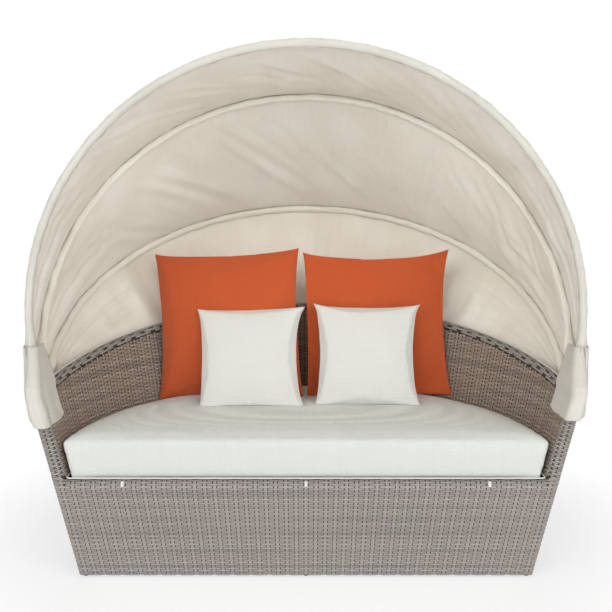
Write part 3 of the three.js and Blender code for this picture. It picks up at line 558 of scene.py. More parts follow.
def front_rows(s):
    """The rows between the arms go over the roll. The ones at the arms go up to their bands."""
    return np.where(between_arms(s), FACE_ROWS + ROLL_ROWS - ROWS_LEFT_OFF,
                    (LEG_BOTTOM - FOOT) / ROW + BAND_LAP)


weave("front_weave", FRONT_STAKES, FACE_ROWS + ROLL_ROWS, lay_front, STRAND, front_rows)

# %% [markdown]
# ## The walls
# Inside and outside, the rows lie level, and at the top they end under the border of the rail.

# %% Weave the outer and inner walls
START_GAP, START_HEIGHT = 0.004, 0.15       # the walls start this far behind the front, so high
OUTER_START = core_angle(FRONT + START_GAP, START_HEIGHT)
ARM_START = core_angle(ARM_CORNER, ARM - WALL / 2)
CORNER_CENTRE = float(rail_top(ARM_START)) - ARM_CORNER
BORDER_LAP = 0.0036         # how far the weave ends below the middle of the rail
STAKES_AT = 0.4             # the height at which the stakes stand at their even distance
BACK_MIDDLE = math.pi / 2


def edge_height(angle):
    """How high the weave goes: up the rounded corner of the arm, then along the rail."""
    y = core_radius(ARM) * np.sin(angle)
    inside = np.clip((ARM_CORNER - y) / (ARM_CORNER - WALL / 2), 0, 1)
    corner = CORNER_CENTRE + (ARM_CORNER - WALL / 2) * np.sqrt(1 - inside ** 2)
    return np.where(y < ARM_CORNER, corner, rail_top(angle) - WALL / 2) - BORDER_LAP


def weave_wall(name, bottom, offset, start, end, material):
    stakes = 2 * round((end - start) * core_radius(STAKES_AT) / STAKE / 2)

    def lay(s, t, h):
        z = bottom + t * ROW * math.cos(LEAN)
        angle = start + (end - start) * s / stakes
        return on_wall(angle, z, offset + h * np.sign(offset))

    def limit(s):
        angle = start + (end - start) * s / stakes
        return (edge_height(np.minimum(angle, math.pi - angle)) - bottom) / ROW / math.cos(LEAN)

    rows = float(limit(np.linspace(0, stakes, 50)).max())
    weave(name, stakes, rows, lay, material, limit, fine=False)


OTHER_END = math.pi - OUTER_START
weave_wall("outer_weave_left", FOOT, WALL / 2, BACK_MIDDLE, OTHER_END, STRAND)
weave_wall("outer_weave_right", FOOT, WALL / 2, OUTER_START, BACK_MIDDLE, STRAND)
weave_wall("inner_weave", SEAT + 0.002, -WALL / 2, OUTER_START, OTHER_END, INNER_STRAND)

# %% [markdown]
# ## The band up the arms and the border of the rail
# Up the front of each arm the rows wrap round the tube. Along the rail they run lengthwise, and the
# same weave is laid round the tube's section instead of flat on a wall.

# %% Bend a weave round the edge tube
LEG_STATIONS, CORNER_STATIONS, RAIL_STATIONS = 24, 12, 80


def edge_path():
    """The middle line up the right arm's front, round its corner and along the rail to the other arm."""
    radius = ARM_CORNER - WALL / 2
    heights = np.linspace(LEG_BOTTOM, CORNER_CENTRE, LEG_STATIONS)
    stations = [(float(core_angle(WALL / 2, z)), z) for z in heights[:-1]]
    for turn in np.linspace(0, math.pi / 2, CORNER_STATIONS):
        z = CORNER_CENTRE + radius * math.sin(turn)
        stations.append((float(core_angle(ARM_CORNER - radius * math.cos(turn), z)), z))
    for angle in np.linspace(ARM_START, BACK_MIDDLE, RAIL_STATIONS)[1:]:
        stations.append((angle, float(rail_top(angle)) - WALL / 2))
    stations += [(math.pi - angle, z) for angle, z in reversed(stations[:-1])]
    angles, heights = np.array(stations).T
    centres = on_wall(angles, heights, 0)
    outs = wall_out(angles)
    aways = unit(np.cross(outs, unit(np.gradient(centres, axis=0))))
    return centres, outs, aways, run_along(centres)


EDGE = edge_path()
EDGE_LENGTH = EDGE[3][-1]
BAND_END = CORNER_CENTRE - LEG_BOTTOM + 0.10
BORDER_UNDER_BAND = 0.03
BORDER_STAKE = 0.044                # strands of the border run further before they cross
BAND_STAKES = 4
SECTION_START = -0.17               # where round the tube's section the weave starts
SECTION_TURN = math.pi + 0.35       # a little more than half of the section
SECTION_ROWS = SECTION_TURN * WALL / 2 / ROW
EDGE_LIFT = 0.0008


def round_edge(run, turn, h):
    """Points at a run along the edge, a turn from its outer side over its top, and a height."""
    centres, outs, aways, lengths = EDGE
    centre, out, away = ([np.interp(run, lengths, part[:, k]) for k in range(3)]
                         for part in (centres, outs, aways))
    reach = WALL / 2 + h
    return np.stack([centre[k] + out[k] * reach * np.cos(turn) + away[k] * reach * np.sin(turn)
                     for k in range(3)], axis=-1)


def weave_border():
    run_from = BAND_END - BORDER_UNDER_BAND
    run_to = EDGE_LENGTH - run_from
    stakes = 2 * round((run_to - run_from) / BORDER_STAKE / 2)

    def lay(s, t, h):
        run = run_from + (run_to - run_from) * s / stakes
        return round_edge(run, SECTION_START + SECTION_TURN * t / SECTION_ROWS, h)

    weave("rail_border", stakes, SECTION_ROWS, lay, STRAND, with_stakes=False, lift=EDGE_LIFT)


def weave_arm_band(name, left):
    def lay(s, t, h):
        run = EDGE_LENGTH - t * ROW if left else t * ROW
        return round_edge(run, SECTION_START + SECTION_TURN * s / BAND_STAKES, h)

    weave(name, BAND_STAKES, BAND_END / ROW, lay, STRAND, with_stakes=False, lift=EDGE_LIFT)


weave_border()
weave_arm_band("arm_band_right", False)
weave_arm_band("arm_band_left", True)
# The skins behind the weave get the dark backing, painted shade that shows through the gaps between the
# strands.
for node in ("front_panel", "outer_wall", "inner_wall", "rail_braid", "seat_edge", "seat_deck"):
    dress(frame["nodes"][node], WEAVE_GAP_SHADE)

# %% [markdown]
# ## Finishes of the cloths
# Each cloth is a plain weave with slubs, thicker threads that show as faint streaks. From where the
# camera stands the threads are too fine to see, so the streaks and soft dark patches carry the look.
# The patches are partly stains and partly painted shade: on the canopy they stand in for the soft
# shade of its folds.

# %% Cloth finishes
STREAK_WIDE = 6             # the streaks' grain across them
THREAD_SHARE = 0.35         # how much the threads stand out beside the streaks


def cloth_finish(name, light, dark, thread, slub, streaks, stains_and_shade, carried=None, sheen=0.1):
    finish = Finish(name, Roughness=0.92, Specular_IOR_Level=0.15, Sheen_Weight=sheen)
    place = finish.place(carried)
    x, y, z = finish.parts(place)
    across, up = (x, y) if carried else (x, z)
    threads = (across * (2 * math.pi / thread)).sine() * (up * (2 * math.pi / thread)).sine()
    wide = STREAK_WIDE
    level = finish.grain(place, (wide, slub, wide) if carried else (wide, wide, slub))
    upright = finish.grain(place, (slub, wide, wide) if carried else (slub, slub * 0.5, wide))
    slubs = (level + upright).span(0.8, 1.2)
    # Soft dark patches, partly stains and partly painted shade; the canopy's are the strongest, painted
    # shade of its folds.
    stain_and_shade_patches = finish.grain(place, (3, 3, 3)).span(*MIDDLE)
    finish.colour(finish.mix(slubs * streaks + stain_and_shade_patches * stains_and_shade, paint(*light), paint(*dark)))
    finish.bump(threads * THREAD_SHARE + slubs, 0.0006)
    return finish.material


# The canopy, its sleeves, the front band and the hoods are one cloth, painted in two copies for how light
# falls: the canopy copy is painted lighter for its underside in the canopy's shade, the hood copy darker
# for the band and the hoods that face the lamps.
CANOPY_PAINTED_LIGHTER = cloth_finish("canopy_cloth", (251, 247, 237), (237, 230, 217), 0.0012, 260, 0.25, 0.8, "cloth")
HOOD_PAINTED_DARKER = cloth_finish("hood_cloth_painted_darker", (214, 212, 203), (190, 187, 177), 0.0012, 260, 0.2, 0.5, "cloth")
CUSHION = cloth_finish("cushion_cloth", (210, 213, 208), (200, 202, 197), 0.0016, 190, 0.2, 0.25,
                       sheen=0.15)
ORANGE = cloth_finish("orange_cloth", (192, 88, 48), (180, 76, 38), 0.0014, 240, 0.15, 0.3)
WHITE = cloth_finish("white_cloth", (214, 214, 209), (205, 204, 198), 0.0016, 210, 0.2, 0.15, sheen=0.15)
PIPING = cloth_finish("piping_cloth", (220, 220, 215), (206, 205, 199), 0.0014, 300, 0.3, 0.1, sheen=0.0)

# %% [markdown]
# ## The canopy
# Three bows turn about one axis over the arms. The cloth is sewn in three panels, each with a
# sleeve for its bow. A panel hangs a little slack between two bows, with soft folds that run across
# it. The grid of a panel is bent to its place in code, because its folds have to meet the bows.

# %% Places on the bows
PIVOT_Y = 0.0781
PIVOT_Z = 0.495
BOW_HALF_WIDTH = 0.812
BOW_LEG = 0.242
BOW_RISE = 0.810
BOW_ANGLES = {"front": math.radians(-7), "middle": math.radians(24.7), "rear": math.radians(57.2)}
STRAP_REACH, STRAP_BLEND = 0.190, 0.05      # how far the straps go up the bows, and where they end
OVER_STRAP, OVER_TUBE = 0.0172, 0.0109      # from a bow's middle to the inside of its sleeve
CLOTH = 0.0018
LEG_STEPS = 20
ARCH_STEPS = 180


def stations_of(start):
    """Stations along a bow: half width, distance from the axis, direction of travel and run."""
    leg = np.linspace(start, BOW_LEG, LEG_STEPS + 1)[:-1]
    turn = np.linspace(0, math.pi, ARCH_STEPS + 1)
    x = np.concatenate([np.full(LEG_STEPS, BOW_HALF_WIDTH), BOW_HALF_WIDTH * np.cos(turn),
                        np.full(LEG_STEPS, -BOW_HALF_WIDTH)])
    r = np.concatenate([leg, BOW_LEG + BOW_RISE * np.sin(turn), leg[::-1]])
    travel = unit(np.stack([np.gradient(x), np.gradient(r)], axis=-1))
    return x, r, travel, run_along(np.stack([x, r], axis=-1))


def on_bow(x, r, angle):
    return np.stack([x, PIVOT_Y + r * math.sin(angle), PIVOT_Z + r * math.cos(angle)], axis=-1)


def along_bow(travel, angle):
    return np.stack([travel[:, 0], travel[:, 1] * math.sin(angle), travel[:, 1] * math.cos(angle)],
                    axis=-1)


def face_of_bow(travel, angle):
    """The direction out of the arch, in the bow's own plane."""
    return along_bow(np.stack([travel[:, 1], -travel[:, 0]], axis=-1), angle)


def behind(angle):
    """The direction straight backwards out of a bow's plane."""
    return 0, math.cos(angle), -math.sin(angle)


def out_of_canopy(travel, angle, run, towards):
    """The direction square to a bow and to the cloth, on the canopy's outside."""
    out = unit(np.cross(along_bow(travel, angle), run))
    out[np.sum(out * towards, axis=-1) < 0] *= -1
    return out


def sleeve_radius(r):
    """The cloth is wider over the flat straps than over the bow's tube."""
    share = np.clip((r - STRAP_REACH) / STRAP_BLEND, 0, 1)
    return OVER_STRAP + (OVER_TUBE - OVER_STRAP) * share


# %% Soft folds
FOLDS = {                   # how long each kind of fold is along a bow, and how wide across it
    "panel": (0.11, 0.30), "panel fine": (0.05, 0.22), "rear": (0.07, 0.5), "rear fine": (0.03, 0.35),
    "hem": (0.04, 1), "sleeve": (0.035, 0.02), "sleeve fine": (0.014, 1), "band width": (0.16, 1),
    "band round": (0.025, 1), "band": (0.042, 1), "band fine": (0.018, 1)}
FOLD_GAIN = 1.6             # brings the noise to about one at its highest
PLEAT, PLEAT_SHARE = 0.022, 0.075           # the deepest pleat, also as a share of the cloth's width
PLEAT_FROM, PLEAT_RISE = 0.11, 0.10         # where the pleats begin, and over which length
PLEAT_TO, PLEAT_FALL = 0.80, 0.45
PLEAT_NOISE = ((8, 1.2, 0, 1), (17, 2.5, 2, 0.5))   # across, outwards, seed and weight


def ripple(along, across, seed, kind):
    """Smooth uneven folds from about -1 to 1."""
    length, width = FOLDS[kind]
    places = zip(along, np.broadcast_to(across, along.shape))
    return FOLD_GAIN * np.array([uneven(a / length, b / width, seed) for a, b in places])


def pleats(r, share, seed, width):
    """Folds that fan out of a pivot, as deep as the room between the bows lets them."""
    near = np.clip((r - PLEAT_FROM) / PLEAT_RISE, 0, 1) * np.clip((PLEAT_TO - r) / PLEAT_FALL, 0, 1)
    value = sum(weight * np.array([uneven(share * across, radius * outwards, seed + step) for radius in r])
                for across, outwards, step, weight in PLEAT_NOISE)
    return near * value * np.minimum(PLEAT, PLEAT_SHARE * width)


# %% Sheets of cloth
def flat_grid(name, columns, rows):
    """A flat piece of so many points by so many, and the column and row of each point."""
    bpy.ops.mesh.primitive_grid_add(x_subdivisions=columns - 1, y_subdivisions=rows - 1, size=1)
    piece = just_made(name)
    flat = read_points(piece)
    i = np.round((flat[:, 0] + 0.5) * (columns - 1)).astype(int)
    j = np.round((flat[:, 1] + 0.5) * (rows - 1)).astype(int)
    return piece, i, j


def sew(name, grid, thickness=CLOTH, tube=False):
    """A sheet from a grid of points, and its length and width. Each point keeps its flat place."""
    columns, rows = grid.shape[:2]
    piece, i, j = flat_grid(name, columns, rows)
    write_points(piece, grid[i, j])
    lengths, widths = run_along(grid[:, rows // 2]), run_along(grid[columns // 2])
    carry(piece, "cloth", np.stack([lengths[i], widths[j], np.zeros(len(i))], axis=-1))
    if tube:
        apply_modifier(piece, "WELD", merge_threshold=SAME_SEAM)
    apply_modifier(piece, "SOLIDIFY", thickness=thickness, offset=-1 if tube else 0)
    if tube:
        outwards_everywhere(piece)
    smooth(piece)
    return piece, float(lengths[-1]), float(widths[-1])


# %% Canopy panels
PANEL_START = 0.075
PANEL_ROWS = 44
SAG = 0.014                 # how far a wide panel hangs in
FOLD = 0.019                # how deep its folds are
FULL_SAG_RUN = 0.35         # from this width on a panel hangs in by all of it
SLACK_SHAPE = 1.3
FOLD_SHAPE = 0.7
FOLD_FREE = 0.15            # the folds begin over this share of the way from a bow
SPREAD = 0.4                # how far the folds differ between a panel's two edges
FOLD_SLANT = 0.5            # how far the finer folds run along the bow on their way across
FOLD_SHARES = (0.45, 0.30)  # of the broad and the finer folds


def two_bows(first, second):
    """A panel's stations on two bows, the directions over to the second and out of the canopy."""
    x, r, travel, lengths = stations_of(PANEL_START)
    angle = BOW_ANGLES[first]
    a, b = on_bow(x, r, angle), on_bow(x, r, BOW_ANGLES[second])
    run = unit(b - a)
    return r, lengths, a, b, run, out_of_canopy(travel, angle, run, face_of_bow(travel, angle))


def slack(width):
    return np.minimum(1, width / FULL_SAG_RUN) ** SLACK_SHAPE


def between_bows(first, second, seed):
    r, lengths, a, b, _, out = two_bows(first, second)
    lift = out * (sleeve_radius(r) + CLOTH)[:, None]
    start, finish = a + lift, b + lift
    width = np.linalg.norm(b - a, axis=-1)
    grid = np.empty((len(r), PANEL_ROWS + 1, 3))
    for j, share in enumerate(np.linspace(0, 1, PANEL_ROWS + 1)):
        hang = math.sin(math.pi * share)
        broad = ripple(lengths, share * SPREAD, seed, "panel")
        fine = ripple(lengths + FOLD_SLANT * share, share * SPREAD, seed + 7, "panel fine")
        folds = FOLD_SHARES[0] * broad + FOLD_SHARES[1] * fine
        rising = hang ** FOLD_SHAPE * min(1, share / FOLD_FREE)
        depth = (SAG * hang + FOLD * rising * folds) * slack(width)
        depth += pleats(r, share, seed + 13, width) * rising
        grid[:, j] = start + (finish - start) * share - out * depth[:, None]
    panel, length, _ = sew("canopy_" + first + "_cloth", grid)
    finish_piece(panel, CANOPY_PAINTED_LIGHTER, "canopy_cloth", None, "canopy_" + first + "_panel")
    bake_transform(panel)


between_bows("front", "middle", 3)
between_bows("middle", "rear", 11)

# %% The rear panel
REAR_START = 0.125
HEM_ANGLE = float(core_angle(0.150, ARM - WALL / 2))
HEM_OUT = WALL / 2 + 0.0035
HEM_DROP = 0.038
HEM_ROWS = 6
HEM_LIFT, HEM_WAVE = 0.001, 0.002
REAR_PULL, REAR_FINE = 0.018, 0.012
REAR_SPREAD = 0.25


def rail_line(turn):
    return on_wall(turn, rail_top(turn) - WALL / 2, 0)


def rear_cloth():
    x, r, travel, lengths = stations_of(REAR_START)
    angle = BOW_ANGLES["rear"]
    bow = on_bow(x, r, angle)
    count = len(x)
    half = np.minimum(np.arange(count), np.arange(count)[::-1]) / ((count - 1) / 2)
    turn = HEM_ANGLE + (BACK_MIDDLE - HEM_ANGLE) * half
    turn = np.where(x >= 0, turn, math.pi - turn)
    rail, outwards = rail_line(turn), wall_out(turn)
    out = out_of_canopy(travel, angle, unit(rail - bow),
                        face_of_bow(travel, angle) + np.array(behind(angle)))
    begin = bow + out * (sleeve_radius(r) + CLOTH)[:, None]
    hem = rail + outwards * HEM_OUT
    width = np.linalg.norm(hem - begin, axis=-1)
    grid = np.empty((count, PANEL_ROWS + 1 + HEM_ROWS, 3))
    for j, share in enumerate(np.linspace(0, 1, PANEL_ROWS + 1)):
        hang = math.sin(math.pi * share)
        rising = hang ** FOLD_SHAPE
        pulls = ripple(lengths, share * REAR_SPREAD, 23, "rear")
        fine = ripple(lengths, share * REAR_SPREAD, 31, "rear fine")
        depth = SAG * hang + (REAR_PULL * rising * pulls + REAR_FINE * hang * share * fine)
        depth = depth * slack(width) + pleats(r, share, 61, width) * rising
        grid[:, j] = begin + (hem - begin) * share - out * depth[:, None]
    for j in range(1, HEM_ROWS + 1):
        down = j / HEM_ROWS
        wave = HEM_LIFT + np.abs(HEM_WAVE * ripple(lengths, 0, 40, "hem") * down)
        grid[:, PANEL_ROWS + j] = hem - wall_up(turn) * HEM_DROP * down + outwards * wave[:, None]
    panel, length, wide = sew("canopy_rear_cloth", grid)
    finish_piece(panel, CANOPY_PAINTED_LIGHTER, "canopy_cloth", None, "canopy_rear_panel")
    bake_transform(panel)


rear_cloth()

# %% [markdown]
# ## Sleeves
# Each bow runs in a sleeve of the same cloth, gathered in small puckers along its seam. A tube is
# swept along the bow by putting a ring of points round each station. The front bow's sleeve is a
# wide flat band, sewn to the cloth behind the bow.

# %% Sleeves round the bows
SLEEVE_SIDES = 14
SLEEVE_ROOM = 0.0012        # between a bow and its sleeve
SLEEVE_PUCKER = 0.0028
SLEEVE_TIGHT = 0.0014       # a pucker goes in by at most this
SLEEVE_ROUND, SLEEVE_TWIST = 0.02, 0.3      # how far the puckers differ round the sleeve
SLEEVE_CLOTH = 0.0012


def sleeve(bow, seed):
    angle = BOW_ANGLES[bow]
    x, r, travel, lengths = stations_of(PANEL_START)
    centre = on_bow(x, r, angle)
    side = np.array(behind(angle))
    face = unit(np.cross(along_bow(travel, angle), side))
    grid = np.empty((len(x), SLEEVE_SIDES + 1, 3))
    for j in range(SLEEVE_SIDES + 1):
        turn = 2 * math.pi * j / SLEEVE_SIDES
        folds = ripple(lengths, math.cos(turn) * SLEEVE_ROUND, seed, "sleeve")
        fine = ripple(lengths + SLEEVE_TWIST * math.sin(turn), 0, seed + 3, "sleeve fine")
        radius = sleeve_radius(r) + SLEEVE_ROOM + SLEEVE_PUCKER * (folds + 0.5 * fine)
        radius = np.maximum(radius, sleeve_radius(r) - SLEEVE_TIGHT)
        grid[:, j] = (centre + face * (radius * math.cos(turn))[:, None]
                      + side * (radius * math.sin(turn))[:, None])
    grid[:, -1] = grid[:, 0]
    piece, length, wide = sew(bow + "_sleeve", grid, SLEEVE_CLOTH, tube=True)
    finish_piece(piece, CANOPY_PAINTED_LIGHTER, "canopy_cloth", bow + "_bow")


BAND_CLOTH = 0.0010
BAND_WIDTH, BAND_WIDER = 0.034, 0.010       # how wide the band is, and how much that differs
BAND_SHARE = 0.3            # of the way to the middle bow, at the most
BAND_TURNS = 11
BAND_STEPS = 6
BAND_ROUND, BAND_TIGHT = 0.0016, 0.0012     # unevenness round the tube, and the most of it inwards
BAND_PUCKER = 0.0040
BAND_SINK, BAND_LINING = 0.006, 0.004       # how far the seam and the lining lie under the outside
BAND_SHAPE = 1.3
BAND_STEP = (0.01, 0.1)     # how far the unevenness moves on along and across from turn to turn
BAND_SLANTS, BAND_SPREAD = (0.018, -0.01), 0.3      # the same for the puckers, from edge to edge


def front_band():
    r, lengths, a, b, run, out = two_bows("front", "middle")
    tube = sleeve_radius(r) + SLEEVE_ROOM
    widest = np.linalg.norm(b - a, axis=-1) * BAND_SHARE
    width = np.minimum(BAND_WIDTH + BAND_WIDER * ripple(lengths, 0, 52, "band width"), widest)
    width = np.maximum(width, tube)

    def section(depth, back):
        return a + out * depth[:, None] + run * back[:, None]

    rows = []
    for j, turn in enumerate(np.linspace(0, math.pi, BAND_TURNS)):
        wavy = ripple(lengths + BAND_STEP[0] * j, j * BAND_STEP[1], 55, "band round")
        radius = np.maximum(tube + BAND_ROUND * wavy, tube - BAND_TIGHT)
        rows.append(section(radius * math.cos(turn), -radius * math.sin(turn)))
    for share in np.linspace(0, 1, BAND_STEPS + 1)[1:]:
        pucker = ripple(lengths + BAND_SLANTS[0] * share, share * BAND_SPREAD, 57, "band")
        fine = ripple(lengths + BAND_SLANTS[1] * share, share * BAND_SPREAD, 58, "band fine")
        pucker += 0.5 * fine
        depth = -tube + (2 * tube - BAND_SINK) * share ** BAND_SHAPE
        depth -= BAND_PUCKER * pucker * math.sin(math.pi * share) ** FOLD_SHAPE
        rows.append(section(depth, width * share))
    rows += [section(tube - BAND_LINING, width / 2), rows[0]]
    grid = np.stack(rows, axis=1)
    band, length, wide = sew("front_sleeve", grid, BAND_CLOTH, tube=True)
    # The band gets the hood copy of the cloth, painted darker than the canopy copy because it faces the
    # lamps.
    finish_piece(band, HOOD_PAINTED_DARKER, "canopy_cloth", "front_bow")


front_band()
sleeve("middle", 60)
sleeve("rear", 70)

# %% [markdown]
# ## The hoods over the pivots
# A hood of the same cloth hangs over each pivot: a front, an outer and an inner side with rounded
# corners, open towards the back, where the bows swing out of it. Its lower edge is a plain hem.

# %% Hoods
HOOD_TOP = 0.690
HOOD_SHOULDER = ARM + 0.025
HOOD_BOTTOMS = {1: 0.486, -1: 0.4625}       # the left hood hangs a little lower than the right one
HOOD_FRONT_GAP = 0.016
HOOD_LEG_GAP = 0.026
HOOD_ARM_GAP = 0.0023
HOOD_CORNER = 0.016
HOOD_INNER_BACK = 0.118
HOOD_OUTER_BACK = 0.150
HOOD_TOP_INNER = 0.790
HOOD_SIDE = [               # height, outer side at the front, outer side at the back
    (0.4625, 0.7895, 0.8175), (0.478, 0.797, 0.832), (0.505, 0.804, 0.8325),
    (0.553, 0.8125, 0.8325), (0.690, 0.8160, 0.8325)]
HOOD_COLUMNS = 60
HOOD_ROWS = 48
HOOD_FOLDS = ((7, 0.9, 0, 0.007), (3, 2.2, 5, 0.0035))  # columns, rows, seed and depth of its folds
HOOD_SLACK = 0.0015
HOOD_HELD = 0.1             # the share of its columns, from the inner back end, that lies flat
HOOD_FREE_SHAPE = 0.8
FOLDS_AT_HEM, FOLDS_LOST = 1.1, 0.6         # how strong the folds are below, and what they lose above
HEM_CORNER, HEM_CORNER_STEPS = 0.012, 6     # how far the hem rises at the inner back corner


def quarter(centre_x, centre_y, start):
    """Points round a hood's rounded corner, a quarter turn from a start."""
    turns = [start + k * math.pi / 8 for k in range(5)]
    return [(centre_x + HOOD_CORNER * math.cos(turn), centre_y + HOOD_CORNER * math.sin(turn))
            for turn in turns]


def hood_outline(height):
    """The hood in plan, from its inner back end round the front to its outer back end."""
    leg = PIVOT_Y + FRONT + (height - PIVOT_Z) * math.tan(BOW_ANGLES["front"])
    share = max(0, (height - HOOD_SHOULDER) / (HOOD_TOP - HOOD_SHOULDER))
    arm_inside = outer_radius(min(height, ARM)) - WALL / math.cos(LEAN) - HOOD_ARM_GAP
    heights, fronts, backs = zip(*HOOD_SIDE)
    outer, outer_back = np.interp(height, heights, fronts), np.interp(height, heights, backs)
    front = -HOOD_FRONT_GAP + (leg - HOOD_LEG_GAP + HOOD_FRONT_GAP) * share

    def inner_at(y):
        return math.sqrt(arm_inside ** 2 - y ** 2) * (1 - share) + HOOD_TOP_INNER * share

    middle = (HOOD_INNER_BACK + front) / 2
    points = [(inner_at(HOOD_INNER_BACK), HOOD_INNER_BACK), (inner_at(middle), middle)]
    points += quarter(inner_at(HOOD_FRONT_GAP) + HOOD_CORNER, front + HOOD_CORNER, math.pi)
    points += quarter(outer - HOOD_CORNER, front + HOOD_CORNER, 3 * math.pi / 2)
    points += [((outer + outer_back) / 2, PIVOT_Y / 2), (outer_back, PIVOT_Y),
               (outer_back, HOOD_OUTER_BACK)]
    points = np.array(points)
    lengths = run_along(points)
    even = np.linspace(0, lengths[-1], HOOD_COLUMNS + 1)
    return np.stack([np.interp(even, lengths, points[:, k]) for k in range(2)], axis=-1)


def hood_point(plan, side, seed, column, height, row):
    """One point of a hood: its plan, with upright folds where the cloth hangs free."""
    ahead, behind_it = plan[min(column + 1, HOOD_COLUMNS)], plan[max(column - 1, 0)]
    tangent = unit(ahead - behind_it)
    outward = np.array([tangent[1], -tangent[0]])
    fold = sum(uneven(column / wide, row * tall, seed + step) * depth
               for wide, tall, step, depth in HOOD_FOLDS)
    share = column / HOOD_COLUMNS
    loose = min(1, max(0, (share - HOOD_HELD) / (1 - HOOD_HELD)))
    free = math.sin(math.pi * loose ** HOOD_FREE_SHAPE)
    swing = max(fold + HOOD_SLACK, -HOOD_SLACK) * free * (FOLDS_AT_HEM - FOLDS_LOST * row)
    x, y = plan[column] + outward * swing
    return side * x, y - FRONT, height


def hood(name, side, seed):
    grid = np.empty((HOOD_COLUMNS + 1, HOOD_ROWS + 1, 3))
    bottom = HOOD_BOTTOMS[side]
    for j, row in enumerate(np.linspace(0, 1, HOOD_ROWS + 1)):
        height = bottom + (HOOD_TOP - bottom) * row
        plan = hood_outline(height)
        for i in range(HOOD_COLUMNS + 1):
            grid[i, j] = hood_point(plan, side, seed, i, height, row)
    fading = 1 - np.arange(HEM_CORNER_STEPS) / HEM_CORNER_STEPS
    grid[:HEM_CORNER_STEPS, :HEM_CORNER_STEPS, 2] += np.outer(fading ** 2 * HEM_CORNER, fading)
    piece, length, height = sew(name, grid)
    outwards_everywhere(piece)
    body = "pivot_flap_" + ("right" if side > 0 else "left")
    # The hood gets the copy of the canopy cloth that is painted darker, for its outside that faces the
    # lamps.
    finish_piece(piece, HOOD_PAINTED_DARKER, "canopy_cloth", "base", body)
    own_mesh(piece)


hood("pivot_hood_right", 1, 3)
hood("pivot_hood_left", -1, 9)

# %% [markdown]
# ## Padding
# The seat cushion and the pillows are covers filled until they are tight. Each starts a little too
# thin and is blown up by a cloth simulation, which draws its sides in between the corners.

# %% Blow up a cover
FRAMES = 20


def inflate(piece, pressure, cap, stiffness):
    """Runs the cloth simulation on a closed cover, and holds every point within cap of its start."""
    start = read_points(piece)
    cloth = piece.modifiers.new("inflate", "CLOTH")
    settings = {"quality": 5, "mass": 0.3, "tension_stiffness": stiffness,
                "compression_stiffness": stiffness, "shear_stiffness": stiffness / 2,
                "bending_stiffness": 0.3, "use_pressure": True, "uniform_pressure_force": pressure}
    for key, value in settings.items():
        setattr(cloth.settings, key, value)
    cloth.settings.effector_weights.gravity = 0
    cloth.point_cache.frame_start = 1
    cloth.point_cache.frame_end = FRAMES
    for step in range(1, FRAMES + 1):
        bpy.context.scene.frame_set(step)
    select_only(piece)
    bpy.ops.object.modifier_apply(modifier=cloth.name)
    bpy.context.scene.frame_set(1)
    moved = read_points(piece) - start
    far = np.linalg.norm(moved, axis=1)
    moved *= np.minimum(1, cap / np.maximum(far, 1e-9))[:, None]
    write_points(piece, start + moved)
    print(piece.name, "moved up to", round(float(far.max()) * 1000, 1), "mm")


def round_off(cover):
    apply_modifier(cover, "SUBSURF", levels=1, render_levels=1)
    smooth(cover)


# %% The seat cushion
CUSHION_THICK = 0.120
CUSHION_HALF = 0.734
CUSHION_DEPTH = 0.730
CUSHION_FRONT = 0.005
CUSHION_CORNER = 0.012
CUSHION_BOTTOM = SEAT + 0.0004
CUSHION_TOP = CUSHION_BOTTOM + CUSHION_THICK
CUSHION_SIDE_INSET = 0.024
CUSHION_BACK_INSET = 0.032
CUSHION_WALL_GAP = 0.0015
CUSHION_PROUD = 0.0085      # how far the filled front may swell out
CROWN = 0.008               # how much higher the middle of its top is
COVER_INSET = 0.004         # the cover starts this far inside the filled cushion's sides
COVER_THIN = 0.003          # and this far inside its top and bottom
COVER_VOXEL = 0.0095
LIE_GAP = 0.0006            # between a cover and what it lies on


def cushion_outline(lowered, inset, steps=150):
    """The cushion in plan for its lower (1) or upper (0) edge, from its right front corner round."""
    half = CUSHION_HALF - CUSHION_SIDE_INSET * lowered - inset
    depth = CUSHION_DEPTH - CUSHION_BACK_INSET * lowered - inset
    front = CUSHION_FRONT + inset
    points = []
    for k in range(7):
        turn = -math.pi / 2 + k * math.pi / 12
        points.append((half - CUSHION_CORNER + CUSHION_CORNER * math.cos(turn),
                       front + CUSHION_CORNER + CUSHION_CORNER * math.sin(turn)))
    corner = points[::-1]
    start = math.asin((front + CUSHION_CORNER) / depth)
    for k in range(1, steps):
        turn = start + (math.pi - 2 * start) * k / steps
        points.append((half * math.cos(turn) / math.cos(start), depth * math.sin(turn)))
    points += [(-x, y) for x, y in corner]
    return np.array(points) - [0, FRONT]


